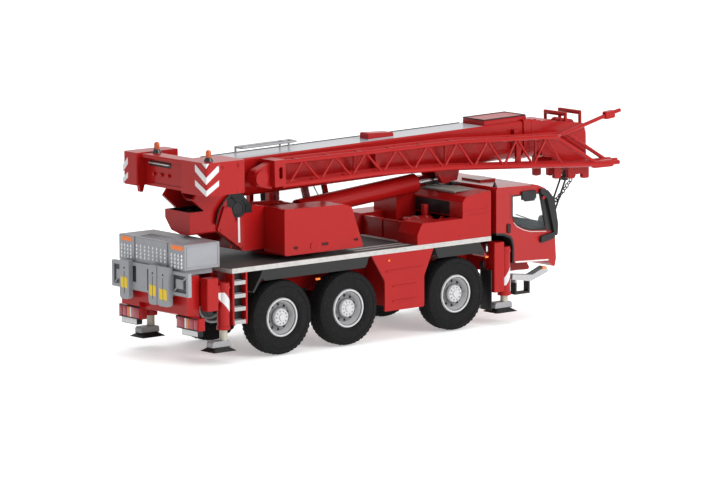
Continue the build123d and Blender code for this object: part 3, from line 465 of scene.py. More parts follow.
@dataclass(frozen=True)
class Finish:
    """A surface finish of the model, with zones that differ."""

    name: str
    colour: Colour
    roughness: float = 0.4
    metallic: float = 0.0
    coat: float = 0.0
    specular: float = 0.3
    zones: tuple[Zone, ...] = ()

    def surface(self, recipe: Recipe) -> tuple[Value, Value]:
        """Colour and roughness before the zones: faint mottling in both.

        Args:
            recipe: the material in the making.

        Returns:
            The two values.
        """
        cloud = recipe.noise(240.0, 4.0)
        fine = recipe.noise(2600.0, 2.0)
        dark = tuple(c * 0.9 for c in self.colour)
        light = tuple(min(1.0, c * 1.07) for c in self.colour)
        recipe.bump(fine, 0.00001, 0.3)
        return recipe.blend(cloud, dark, light), self.roughness + (fine - 0.5) * 0.08 + (cloud - 0.5) * 0.05

    def make(self) -> bpy.types.Material:
        """The finish as a material.

        Returns:
            The material.
        """
        recipe = Recipe(self.name)
        colour, rough = self.surface(recipe)
        metal: Value | float = self.metallic
        grain = recipe.noise(700.0, 3.0) if self.zones else None
        for zone in self.zones:
            share = zone.share(recipe)
            # Each zone's colour, mottled by the grain; some zones are painted shade, such as the turntable's
            # openings and the wheels' dished recess.
            mottled_zone = recipe.blend(grain, tuple(c * 0.88 for c in zone.colour), zone.colour)
            colour = recipe.blend(share, colour, mottled_zone)
            rough = rough + (zone.roughness - rough) * share
            metal = (zone.metallic - metal) * share + metal if zone.metallic != self.metallic else metal
        recipe.feed(
            Base_Color=colour,
            Roughness=rough,
            Metallic=metal,
            Coat_Weight=self.coat,
            Coat_Roughness=0.08,
            Specular_IOR_Level=self.specular,
        )
        return recipe.material


@dataclass(frozen=True)
class GlossPaint(Finish):
    """Sprayed gloss paint on die-cast metal: soft orange peel and a little dust under a clear coat."""

    def surface(self, recipe: Recipe) -> tuple[Value, Value]:
        """Colour and roughness of the sprayed coat.

        Args:
            recipe: the material in the making.

        Returns:
            The two values.
        """
        peel = recipe.noise(420.0, 1.0)
        cloud = recipe.noise(90.0, 3.0)
        dust = recipe.noise(5200.0, 2.0).ramp(0.68, 0.82)
        base = recipe.blend(cloud, tuple(c * 0.92 for c in self.colour), self.colour)
        recipe.bump(peel, 0.00002, 0.16)
        dusty = recipe.blend(dust * 0.05, base, PAINT_DUST)
        return dusty, self.roughness + dust * 0.2 + (cloud - 0.5) * 0.06


@dataclass(frozen=True)
class ChequerPlate(Finish):
    """Light grey anti-slip plate with fine ribs along the deck."""

    pitch: float = 0.62

    def surface(self, recipe: Recipe) -> tuple[Value, Value]:
        """Colour and roughness of the ribbed plate, with grime and painted shade in the grooves between the
        ribs.

        Args:
            recipe: the material in the making.

        Returns:
            The two values.
        """
        _, y, z = recipe.position()
        ribs = ((y + z) * (math.tau / self.pitch)).wave() * 0.5 + 0.5
        grime = recipe.noise(420.0, 5.0).ramp(0.42, 0.75)
        recipe.bump(ribs, 0.00012, 0.6)
        # Grime noise plus painted shade: darker in the grooves where the ribs are low.
        grime_and_groove_shade = grime * 0.3 + (1 - ribs) * 0.25
        colour = recipe.blend(grime_and_groove_shade, self.colour, tuple(c * 0.5 for c in self.colour))
        return colour, self.roughness + grime * 0.15


@dataclass(frozen=True)
class TyreRubber(Finish):
    """Matt moulded rubber with a breath of grey dust."""

    def surface(self, recipe: Recipe) -> tuple[Value, Value]:
        """Colour and roughness of the rubber.

        Args:
            recipe: the material in the making.

        Returns:
            The two values.
        """
        dust = recipe.noise(900.0, 5.0).ramp(0.45, 0.8)
        grain = recipe.noise(7000.0, 2.0)
        recipe.bump(grain, 0.00003, 0.5)
        colour = recipe.blend(dust * 0.3, self.colour, ROAD_DUST)
        return colour, self.roughness + (grain - 0.5) * 0.12


@dataclass(frozen=True)
class Clear(Finish):
    """Thin clear plastic glazing."""

    alpha: float = 0.16

    def make(self) -> bpy.types.Material:
        """The glazing as a material.

        Returns:
            The material.
        """
        recipe = Recipe(self.name)
        haze = recipe.noise(300.0, 4.0)
        recipe.feed(
            Base_Color=recipe.blend(haze, self.colour, tuple(min(1.0, c * 1.15) for c in self.colour)),
            Roughness=self.roughness + haze * 0.05,
            Alpha=haze * 0.04 + self.alpha,
            Specular_IOR_Level=self.specular,
        )
        recipe.material.surface_render_method = "BLENDED"
        return recipe.material


@dataclass(frozen=True)
class Lens(Finish):
    """A coloured lamp lens with moulded ribs and a little inner light; on the white dots, which are no lamp,
    the glow is painted light.
    """

    glow: float = 0.1

    def make(self) -> bpy.types.Material:
        """The lens as a material.

        Returns:
            The material.
        """
        recipe = Recipe(self.name)
        x, y, z = recipe.position()
        ribs = ((x + y + z) * (math.tau / 0.5)).wave() * 0.5 + 0.5
        lit = recipe.blend(ribs, self.colour, tuple(c * 0.7 for c in self.colour))
        colour = recipe.blend(ribs * 0.3, self.colour, tuple(c * 0.5 for c in self.colour))
        glow = lit
        for zone in self.zones:
            share = zone.share(recipe)
            colour = recipe.blend(share, colour, zone.colour)
            glow = recipe.blend(share, glow, BLACK_OUT)
        recipe.feed(
            Base_Color=colour,
            Roughness=self.roughness + ribs * 0.05,
            Coat_Weight=self.coat,
            Emission_Color=glow,
            Emission_Strength=self.glow,
            Specular_IOR_Level=self.specular,
        )
        recipe.bump(ribs, 0.00005, 0.5)
        return recipe.material


BOOM_SLOPE = math.tan(BOOM_PITCH)


def boom_band(low: float, high: float) -> tuple[Plane, ...]:
    """Planes of a band that runs along the pitched boom.

    Args:
        low: height of its lower edge at the boom's pin.
        high: height of its upper edge there.

    Returns:
        The two planes.
    """
    return slanted(BOOM_SLOPE, BOOM_PIN[0], low, high)


def gloss_red(name: str, *zones: Zone) -> GlossPaint:
    """The model's red paint, with zones that differ.

    Args:
        name: the finish's name.
        zones: the parts that wear another colour.

    Returns:
        The finish.
    """
    return GlossPaint(name, RED_BASE, roughness=0.3, coat=0.12, specular=0.16, zones=zones)


def lens(name: str, colour: Colour, glow: float, coat: float = 0.6, roughness: float = 0.2) -> Lens:
    """A lamp lens or a glossy dot.

    Args:
        name: the finish's name.
        colour: its colour.
        glow: strength of its inner light; on a dot, which is no lamp, it is a painted glow.
        coat: weight of its clear coat.
        roughness: its roughness.

    Returns:
        The finish.
    """
    return Lens(name, colour, roughness, coat=coat, specular=0.4, glow=glow)


class Paint(Enum):
    """Every finish on the model."""

    RED = gloss_red("red_gloss_paint")
    BOOM = gloss_red(
        "red_boom_with_grey_top",
        Zone(
            (0.42, 0.42, 0.45),
            (*within(x=(-14.0, 118.4), y=(-7.3, 9.0)), *boom_band(75.15, 75.75)),
            roughness=0.22,
        ),
        Zone(
            SILVER_BASE,
            (*within(x=(-14.0, 35.0), y=(0.0, 9.0)), *boom_band(75.75, 90.0)),
            roughness=0.35,
            metallic=0.3,
        ),
    )
    LADDER = gloss_red(
        "red_ladder_with_pale_rungs",
        Zone(INK, within(x=(-23.4, -18.0), y=(0.0, SIDE_Y - 1.6)), both_sides=True),
        *(
            Zone(
                PALE,
                within(x=(-23.4, -18.0), y=(SIDE_Y - 2.6, 26.0), z=(z - 0.9, z + 0.9)),
                both_sides=True,
            )
            for z in (15.3, 20.4, 25.5, 30.6)
        ),
    )
    BEAM_FRONT = gloss_red(
        "red_front_outrigger_with_stripe",
        Zone(
            WHITE_BASE,
            (*within(x=(114.0, 119.0), y=(20.0, 27.0), z=(15.6, 22.8)), *slanted(1.4, 115.6, 16.9, 20.9)),
            both_sides=True,
        ),
    )
    BEAM_REAR = gloss_red(
        "red_rear_outrigger_with_stripe",
        Zone(
            WHITE_BASE,
            (*within(x=(-30.5, -24.0), y=(20.0, 27.0), z=(19.8, 27.6)), *slanted(-1.2, -27.3, 21.6, 26.4)),
            both_sides=True,
        ),
    )
    CAB = GlossPaint(
        "red_cab_with_black_screen_frame",
        RED_BASE,
        roughness=0.26,
        coat=0.3,
        specular=0.2,
        zones=(
            Zone(INK, ((1.0, 0.0, 0.2368, 145.3), *within(z=(35.4, 52.6)))),
            Zone(
                INK,
                (*within(y=(0.0, 24.9)), *within(x=(111.4, 139.0), z=(22.0, 53.2))),
                both_sides=True,
                roughness=0.6,
            ),
        ),
    )
    FENDER = Finish(
        "black_fender_with_red_end",
        INK,
        roughness=0.45,
        zones=(Zone(RED_BASE, within(x=(103.3, 108.0), z=(20.0, 40.0)), roughness=0.3),),
    )
    GREY = Finish("grey_satin_paint", GREY_BASE, roughness=0.42, coat=0.1)
    RACK = Finish(
        "grey_rack_paint",
        GREY_BASE,
        roughness=0.42,
        coat=0.1,
        zones=(
            Zone(
                (0.05, 0.052, 0.058),
                within(x=(-44.4, -42.0), y=(14.4, 23.6), z=(27.8, 35.8)),
                both_sides=True,
            ),
        ),
    )
    DECK = ChequerPlate(
        "deck_chequer_plate",
        (0.5, 0.49, 0.47),
        roughness=0.42,
        metallic=0.1,
        zones=(
            Zone(
                (0.045, 0.042, 0.042),
                within(x=(-30.0, 68.4), y=(0.0, 24.7), z=(36.2, 40.0)),
                both_sides=True,
                roughness=0.5,
            ),
            *(
                Zone(
                    (0.42, 0.41, 0.39),
                    within(x=(40.0, 68.0), y=(y, y + 1.9), z=(36.2, 40.0)),
                    both_sides=True,
                )
                for y in (19.4, 15.2)
            ),
        ),
    )
    PLATFORM = gloss_red(
        "red_turntable_with_dark_opening",
        # Both black zones are painted shade: the turntable's openings by the pivot hubs and round the winch.
        Zone(INK, within(x=(-15.0, -2.6), y=(0.0, 10.4), z=(54.6, 63.6)), both_sides=True, roughness=0.6),
        Zone(INK, within(x=(-32.6, -18.4), y=(-9.4, 5.2), z=(48.9, 58.4)), roughness=0.6),
    )
    BLACK = Finish("black_satin_plastic", INK, roughness=0.45)
    RUBBER = TyreRubber("tyre_rubber", (0.008, 0.008, 0.0085), roughness=0.75, specular=0.12)
    RIM = Finish(
        "silver_wheel_paint",
        (0.5, 0.5, 0.51),
        roughness=0.36,
        metallic=0.15,
        coat=0.1,
        specular=0.4,
        zones=(
            # Painted shade in the dished recess between hub and rim.
            WheelBand((0.16, 0.16, 0.165), roughness=0.45, metallic=0.15, inner=3.55, outer=5.6),
            WheelBand((0.09, 0.09, 0.092), roughness=0.5, metallic=0.15, inner=6.5, outer=6.75),
        ),
    )
    SILVER = Finish("silver_satin_metal", SILVER_BASE, roughness=0.38, metallic=0.2, coat=0.1)
    SLAT = Finish("grille_slat_paint", (0.2, 0.185, 0.165), roughness=0.5, metallic=0.1)
    LAMP_BAR = gloss_red("red_lamp_bar_with_dark_foot", Zone(INK, within(z=(10.0, 13.85))))
    STEPS = Finish(
        "silver_bumper_with_black_steps",
        (0.4, 0.4, 0.41),
        metallic=0.3,
        zones=(Zone(INK, within(z=(5.0, 15.9))),),
    )
    DARK_METAL = Finish("dark_underbody_metal", (0.03, 0.028, 0.028), roughness=0.5, metallic=0.5)
    BEACON = Lens(
        "amber_beacon_with_black_base",
        (0.5, 0.075, 0.002),
        roughness=0.2,
        coat=0.5,
        specular=0.4,
        zones=(
            Zone(INK, within(x=(-34.0, -31.0), z=(70.0, 79.7))),
            Zone(INK, within(x=(-31.5, -28.0), z=(70.0, 79.3))),
        ),
        glow=0.08,
    )
    AMBER = lens("amber_lens", (0.6, 0.13, 0.006), glow=0.12)
    TAIL_RED = lens("red_lens", (0.3, 0.006, 0.02), glow=0.06)
    WHITE_LENS = lens("white_lens", (0.6, 0.6, 0.62), glow=0.06)
    # White dots that are no lamp: their glow is painted light.
    PEARL = lens("pearl_dots", (0.66, 0.67, 0.7), glow=0.45, coat=0.3, roughness=0.25)
    CHROME = Finish("polished_steel", (0.6, 0.6, 0.61), roughness=0.18, metallic=1.0)
    MUFFLER = Finish("silver_muffler", (0.5, 0.48, 0.45), roughness=0.36, metallic=0.8)
    FOOT = Finish(
        "jack_foot_paint",
        (0.42, 0.4, 0.33),
        metallic=0.2,
        zones=(Zone((0.3, 0.3, 0.31), within(z=(6.55, 8.85))), Zone(INK, within(z=(0.0, 6.55)))),
    )
    INTERIOR = Finish("dark_cab_trim", (0.009, 0.009, 0.011), roughness=0.6, specular=0.2)
    # Print and stickers, and the painted highlight lines on the cab doors.
    WHITE = Finish("white_marking", WHITE_BASE, coat=0.1)
    YELLOW = Finish("yellow_marking", (0.72, 0.5, 0.01), coat=0.1)
    ORANGE = Finish("orange_reflector", (0.85, 0.18, 0.012), roughness=0.3, coat=0.2)
    GLASS = Clear("cab_glazing", (0.4, 0.44, 0.46), roughness=0.06, specular=0.25, alpha=0.05)
    ROPE = Finish("wire_rope", (0.03, 0.03, 0.032), roughness=0.45, metallic=0.5)


class PaintShop:
    """Makes each finish once and hands it out."""

    def __init__(self) -> None:
        """Start with an empty shelf."""
        self._made: dict[Paint, bpy.types.Material] = {}

    def get(self, paint: Paint) -> bpy.types.Material:
        """The finish's material, made at its first use.

        Args:
            paint: which finish.

        Returns:
            The material.
        """
        if paint not in self._made:
            self._made[paint] = paint.value.make()
        return self._made[paint]

    def dress(self, thing: bpy.types.Object, paint: Paint) -> None:
        """Give an object one finish.

        Args:
            thing: the object.
            paint: the finish.
        """
        thing.data.materials.clear()
        thing.data.materials.append(self.get(paint))


@dataclass(frozen=True)
class Brick:
    """A block between two corners in millimetres, with the rounding of its edges and its facets."""

    low: Point
    high: Point
    bevel: float = 0.0
    segments: int = 2


class Bench:
    """One bmesh in the making, with the shapes the model needs."""

    def __init__(self) -> None:
        """Start an empty mesh."""
        self.bm = bmesh.new()

    def block(self, low: Vector, high: Vector, bevel: float = 0.0, segments: int = 2) -> list:
        """Add a box between two corners.

        Args:
            low: lowest corner.
            high: highest corner.
            bevel: edge rounding in metres.
            segments: facets of the rounding.

        Returns:
            Its vertices.
        """
        size = high - low
        place = Matrix.Translation((low + high) / 2) @ Matrix.Diagonal((*size, 1.0))
        made = bmesh.ops.create_cube(self.bm, size=1.0, matrix=place)["verts"]
        if bevel > 0:
            edges = list(dict.fromkeys(edge for vert in made for edge in vert.link_edges))
            made = bmesh.ops.bevel(
                self.bm,
                geom=edges,
                offset=bevel,
                segments=segments,
                profile=0.5,
                affect="EDGES",
                material=-1,
            )["verts"]
        return made

    def bricks(self, bricks: Iterable[Brick], sign: float = 1) -> None:
        """Add blocks, all on one side.

        Args:
            bricks: the blocks, given for the left side.
            sign: -1 puts them on the right side.
        """
        for brick in bricks:
            (x0, near, z0), (x1, far, z1) = brick.low, brick.high
            y0, y1 = span(sign, near, far)
            self.block(at(x0, y0, z0), at(x1, y1, z1), brick.bevel * MM, brick.segments)

    def rod(self, start: Vector, end: Vector, radius: float, sides: int = 16, taper: float = 1.0) -> None:
        """Add a round rod.

        Args:
            start: middle of one end.
            end: middle of the other end.
            radius: its radius at the start.
            sides: facets round it.
            taper: radius at the end over that at the start.
        """
        way = end - start
        turn = way.to_track_quat("Z", "Y").to_matrix().to_4x4()
        place = Matrix.Translation((start + end) / 2) @ turn
        bmesh.ops.create_cone(
            self.bm,
            cap_ends=True,
            segments=sides,
            radius1=radius,
            radius2=radius * taper,
            depth=way.length,
            matrix=place,
        )

    def ball(self, centre: Vector, radius: float, sides: int) -> None:
        """Add a ball.

        Args:
            centre: its middle.
            radius: its radius.
            sides: facets round it.
        """
        bmesh.ops.create_uvsphere(
            self.bm,
            u_segments=sides,
            v_segments=max(6, sides // 2),
            radius=radius,
            matrix=Matrix.Translation(centre),
        )

    def plate(self, corners: Sequence[Vector], push: Vector) -> None:
        """Add a flat panel of any outline, with thickness.

        Args:
            corners: the outline in order.
            push: its thickness as a vector.
        """
        verts = [self.bm.verts.new(corner) for corner in corners]
        face = self.bm.faces.new(verts)
        made = bmesh.ops.extrude_face_region(self.bm, geom=[face], use_keep_orig=True)
        moved = [item for item in made["geom"] if isinstance(item, bmesh.types.BMVert)]
        bmesh.ops.translate(self.bm, verts=moved, vec=push)

    def turned(self, profile: Sequence[tuple[float, float]], centre: Vector, steps: int) -> None:
        """Spin a closed profile of (y, radius) points about an axle along Y.

        Args:
            profile: points as (y, radius), closed round.
            centre: a point on the axle.
            steps: facets round it.
        """
        first = [self.bm.verts.new(centre + Vector((0, y, r))) for y, r in profile]
        edges = [self.bm.edges.new((first[i], first[(i + 1) % len(first)])) for i in range(len(first))]
        bmesh.ops.spin(
            self.bm,
            geom=first + edges,
            cent=centre,
            axis=(0, 1, 0),
            dvec=(0, 0, 0),
            angle=math.tau,
            steps=steps,
            use_merge=True,
        )

    def tube(self, path: Sequence[Vector], radius: float, sides: int = 8) -> None:
        """Add a bent tube as rods with balls at their joints.

        Args:
            path: its points.
            radius: its radius in metres.
            sides: facets round it.
        """
        for start, end in zip(path, path[1:]):
            self.rod(start, end, radius, sides)
        for spot in path[1:-1]:
            self.ball(spot, radius, sides)

    def ring(self, centre: Vector, axis: Vector, radius: float, wire: float, steps: int = 24) -> None:
        """Add a ring of round wire.

        Args:
            centre: its middle.
            axis: the line through its hole.
            radius: to the wire's middle.
            wire: the wire's radius.
            steps: facets round it.
        """
        first = axis.orthogonal().normalized()
        second = axis.normalized().cross(first)
        turns = [math.tau * k / steps for k in range(steps)]
        spots = [centre + (first * math.cos(turn) + second * math.sin(turn)) * radius for turn in turns]
        for k in range(steps):
            self.rod(spots[k], spots[(k + 1) % steps], wire, 6)

    def bolt(self, spot: Vector, way: Vector, radius: float, height: float) -> None:
        """Add a hexagon bolt head on its washer.

        Args:
            spot: where the washer lies.
            way: out of the surface, one unit long.
            radius: the washer's radius.
            height: of head and washer.
        """
        self.rod(spot, spot + way * height * 0.3, radius, 12)
        self.rod(spot, spot + way * height, radius * 0.72, 6, 0.94)

    def piece(
        self,
        name: str,
        body: str,
        material: bpy.types.Material,
        slot: str,
        smooth: float = 35.0,
        replaces: Sequence[str] = (),
    ) -> None:
        """Close the mesh and file it as a piece of the model.

        Args:
            name: the piece's name.
            body: the CAD body it rides on.
            material: its finish.
            slot: the record's material slot; not used.
            smooth: edges flatter than this many degrees are shaded smooth.
            replaces: CAD nodes it stands for.
        """
        bmesh.ops.remove_doubles(self.bm, verts=self.bm.verts, dist=1e-7)
        bmesh.ops.recalc_face_normals(self.bm, faces=self.bm.faces)
        mesh = bpy.data.meshes.new(name)
        self.bm.to_mesh(mesh)
        self.bm.free()
        mesh.materials.append(material)
        mesh.shade_smooth()
        mesh.set_sharp_from_angle(angle=math.radians(smooth))
        thing = bpy.data.objects.new(name, mesh)
        bpy.context.scene.collection.objects.link(thing)
        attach(thing, body)
        if replaces:
            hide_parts(*replaces)
        log.info("piece %s: %d triangles", name, sum(len(p.vertices) - 2 for p in mesh.polygons))


@dataclass
class Studio:
    """A white product table with soft light from the right, and the photograph's camera in pixels and mm."""

    azimuth: float = -39.4
    elevation: float = 8.5
    roll: float = -0.22
    focal_px: float = 4844.7
    distance: float = 1896.0
    shift_right: float = 46.01
    shift_up: float = 41.7
    floor_size: float = 30.0
    floor_glow: float = 0.36
    backdrop_rise: float = 0.773
    backdrop_edge: tuple[float, float] = (0.72, 0.93)
    dim: float = 0.6

    def camera(self) -> None:
        """Set the camera where the photograph was taken from."""
        az, el, roll = (math.radians(v) for v in (self.azimuth, self.elevation, self.roll))
        back = Vector((math.sin(az) * math.cos(el), -math.cos(az) * math.cos(el), math.sin(el)))
        right = (-back).cross(Vector((0, 0, 1))).normalized()
        up = right.cross(-back)
        across = right * math.cos(roll) + up * math.sin(roll)
        rise = up * math.cos(roll) - right * math.sin(roll)
        spot = back * self.distance + across * self.shift_right + rise * self.shift_up
        data = bpy.data.cameras.new("camera")
        data.sensor_width = SENSOR_MM
        data.lens = self.focal_px * SENSOR_MM / PHOTO_WIDTH_PX
        data.clip_start = 0.05
        data.clip_end = 100.0
        cam = bpy.data.objects.new("camera", data)
        bpy.context.scene.collection.objects.link(cam)
        turn = Matrix((across, rise, back)).transposed().to_4x4()
        cam.matrix_world = Matrix.Translation(at(*spot)) @ turn
        bpy.context.scene.camera = cam

    def floor(self) -> None:
        """Lay the pale floor."""
        bm = bmesh.new()
        bmesh.ops.create_grid(bm, x_segments=1, y_segments=1, size=self.floor_size / 2)
        mesh = bpy.data.meshes.new("floor")
        bm.to_mesh(mesh)
        bm.free()
        thing = bpy.data.objects.new("floor", mesh)
        bpy.context.scene.collection.objects.link(thing)
        recipe = Recipe("white_table")
        recipe.feed(
            Base_Color=(0.9, 0.9, 0.9),
            Roughness=0.6,
            Emission_Color=(1.0, 1.0, 1.0),
            Emission_Strength=self.floor_glow,
        )
        mesh.materials.append(recipe.material)

    def light(self, name: str, spot: tuple, target: tuple, size: float, power: float) -> None:
        """Hang one soft light.

        Args:
            name: its name.
            spot: where it hangs, in metres.
            target: what it points at.
            size: its width in metres.
            power: its power in watts.
        """
        data = bpy.data.lights.new(name, "AREA")
        data.shape = "SQUARE"
        data.size = size
        data.energy = power
        lamp = bpy.data.objects.new(name, data)
        lamp.location = spot
        way = Vector(target) - Vector(spot)
        lamp.rotation_mode = "QUATERNION"
        lamp.rotation_quaternion = way.to_track_quat("-Z", "Y")
        bpy.context.scene.collection.objects.link(lamp)

    def sky(self) -> None:
        """White room whose walls away from the lit backdrop are a little dimmer."""
        world = bpy.data.worlds.new("white_room")
        bpy.context.scene.world = world
        world.use_nodes = True
        sky = NodeTree(world.node_tree)
        coords = sky.node("ShaderNodeTexCoord", {}, {})
        backdrop = (-math.sin(math.radians(self.azimuth)), self.backdrop_rise, 0.0)
        facing = sky.node(
            "ShaderNodeVectorMath",
            {"operation": "DOT_PRODUCT"},
            {0: Value(sky, coords.outputs["Generated"]), 1: backdrop},
        )
        low, high = self.backdrop_edge
        bright = sky.node(
            "ShaderNodeMapRange",
            {},
            {
                "Value": Value(sky, facing.outputs["Value"]),
                "From Min": low,
                "From Max": high,
                "To Min": self.dim,
            },
        )
        sky.tree.links.new(bright.outputs[0], sky.tree.nodes["Background"].inputs["Color"])
        sky.tree.nodes["Background"].inputs["Strength"].default_value = 1.0

    def build(self) -> None:
        """Set up floor, lights, sky and camera."""
        self.floor()
        self.sky()
        self.light("overhead", (0.2, 0.1, 1.5), (0, 0, 0), 1.2, 9.0)
        self.light("side", (0.5, -1.7, 0.8), (0, 0, 0.03), 1.0, 26.0)
        bpy.context.scene.view_settings.view_transform = "Standard"
        self.camera()


@dataclass
class NodeFinishes:
    """Finishes of the CAD nodes that stay as they are."""

    by_node: dict[str, Paint] = field(
        default_factory=lambda: {
            "deck_plates": Paint.DECK,
            "ballast_slabs": Paint.GREY,
            "ballast_rack": Paint.RACK,
            "boom_base": Paint.BOOM,
            "cab_shell": Paint.CAB,
            "boarding_ladders": Paint.LADDER,
            "lamp_bars": Paint.LAMP_BAR,
            "slew_platform": Paint.PLATFORM,
            "fenders": Paint.FENDER,
            "cab_trim": Paint.BLACK,
            "boom_rest": Paint.BLACK,
            "axle_beams": Paint.DARK_METAL,
            "winch_drum": Paint.DARK_METAL,
            "exhaust_muffler": Paint.RED,
            "cab_interior": Paint.INTERIOR,
            "operator_seat": Paint.INTERIOR,
            "beacons": Paint.BEACON,
            "luff_rod": Paint.CHROME,
            "front_steps": Paint.STEPS,
            "hook_block": Paint.ROPE,
        }
    )
    by_start: dict[str, Paint] = field(
        default_factory=lambda: {
            "tyre": Paint.RUBBER,
            "rim": Paint.RIM,
            "knuckle": Paint.DARK_METAL,
            "jack_foot": Paint.FOOT,
            "outrigger_beam_front": Paint.BEAM_FRONT,
            "outrigger_beam_rear": Paint.BEAM_REAR,
        }
    )

    def dress(self, shop: PaintShop, nodes: dict[str, bpy.types.Object]) -> None:
        """Give every node its finish.

        Args:
            shop: where finishes come from.
            nodes: the frame's nodes.
        """
        for name, node in nodes.items():
            paint = self.by_node.get(name)
            if paint is None:
                paint = next((p for start, p in self.by_start.items() if name.startswith(start)), Paint.RED)
            shop.dress(node, paint)
        log.info("dressed %d nodes", len(nodes))


@dataclass
class Wheel:
    """A wide single truck tyre with lugged shoulders, and the bolts of its rim."""

    number: int
    side: Side
    lugs: int = 44
    lug_half: float = 0.55
    lug_root: float = 1.0
    lug_inset: float = 0.12
    lug_reach: tuple[float, float] = (0.5, 2.6)
    crown: float = 2.6
    shoulder_fall: float = 0.45
    bolts: int = 10
    bolt_circle: float = 2.5

    @property
    def mark(self) -> str:
        """Axle number and side as node names end."""
        return f"{self.number}_{self.side.word}"

    @property
    def x(self) -> float:
        """The axle's distance from the rear axle."""
        return WHEEL_X[self.number - 1]

    def profile(self) -> list[tuple[float, float]]:
        """Section of the carcass, as (y, radius) in metres.

        Returns:
            The closed profile.
        """
        inner, outer = HALF_WIDTH - TYRE_W, HALF_WIDTH
        middle = (inner + outer) / 2
        r = TYRE_R - 0.35
        points = [
            (inner + 0.9, RIM_R),
            (inner + 0.25, RIM_R + 0.9),
            (inner + 0.05, RIM_R + 2.2),
            (inner, r - 2.6),
            (inner + 0.2, r - 1.2),
            (inner + 0.8, r - 0.35),
            (inner + 1.7, r),
            (inner + 2.9, r + 0.08),
            (inner + 3.0, r - 0.35),
            (inner + 3.3, r - 0.35),
            (inner + 3.4, r + 0.12),
            (middle - 0.15, r + 0.14),
            (middle - 0.1, r - 0.35),
            (middle + 0.1, r - 0.35),
            (middle + 0.15, r + 0.14),
            (outer - 3.4, r + 0.12),
            (outer - 3.3, r - 0.35),
            (outer - 3.0, r - 0.35),
            (outer - 2.9, r + 0.08),
            (outer - 1.7, r),
            (outer - 0.8, r - 0.35),
            (outer - 0.2, r - 1.2),
            (outer - 0.02, r - 2.2),
            (outer - 0.22, r - 2.4),
            (outer - 0.12, r - 2.7),
            (outer, r - 3.4),
            (outer - 0.05, RIM_R + 1.6),
            (outer - 0.25, RIM_R + 1.3),
            (outer - 0.25, RIM_R + 0.7),
            (outer - 0.55, RIM_R + 0.45),
            (outer - 0.9, RIM_R),
        ]
        return [(y * MM * self.side.value, radius * MM) for y, radius in points]

    def tread(self, shop: PaintShop) -> None:
        """Make the tyre in place of its CAD node.

        Args:
            shop: where finishes come from.
        """
        bench = Bench()
        centre = at(self.x, 0, TYRE_R)
        bench.turned(self.profile(), centre, 96)
        inner, outer = HALF_WIDTH - TYRE_W, HALF_WIDTH
        near, far = self.lug_reach
        for k in range(self.lugs):
            angle = math.tau * k / self.lugs
            for row, ends in enumerate(((inner + near, inner + far), (outer - far, outer - near))):
                turn = Matrix.Rotation(angle + row * math.pi / self.lugs, 4, "Y")
                y0, y1 = span(self.side.value, *ends)
                low = Vector((-self.lug_half, y0, TYRE_R - self.lug_root)) * MM
                high = Vector((self.lug_half, y1, TYRE_R - self.lug_inset)) * MM
                verts = bench.block(low, high)
                for vert in verts:
                    if vert.co.z > low.z + 1e-6:
                        reach = abs(abs(vert.co.y) - (inner + outer) / 2 * MM)
                        vert.co.z -= max(0.0, reach - self.crown * MM) * self.shoulder_fall
                bmesh.ops.transform(bench.bm, matrix=Matrix.Translation(centre) @ turn, verts=verts)
        bench.piece(
            f"tread_{self.mark}",
            f"wheel_{self.mark}",
            shop.get(Paint.RUBBER),
            "tyre",
            smooth=30.0,
            replaces=[f"tyre_{self.mark}"],
        )

    def hardware(self, shop: PaintShop) -> None:
        """Bolt the hub down and add the valve.

        Args:
            shop: where finishes come from.
        """
        bench = Bench()
        sign = self.side.value
        face = (HALF_WIDTH - 0.92) * sign
        way = Vector((0, sign, 0))
        for k in range(self.bolts):
            angle = math.tau * k / self.bolts
            ahead, up = self.bolt_circle * math.cos(angle), self.bolt_circle * math.sin(angle)
            bench.bolt(at(self.x + ahead, face, TYRE_R + up), way, 0.36 * MM, 0.42 * MM)
        bench.tube(
            [
                at(self.x + 6.0, (HALF_WIDTH - 3.2) * sign, TYRE_R),
                at(self.x + 5.6, (HALF_WIDTH - 1.8) * sign, TYRE_R),
                at(self.x + 5.2, (HALF_WIDTH - 1.2) * sign, TYRE_R),
            ],
            0.16 * MM,
        )
        bench.piece(f"wheel_bolts_{self.mark}", f"wheel_{self.mark}", shop.get(Paint.SILVER), "rim_silver")


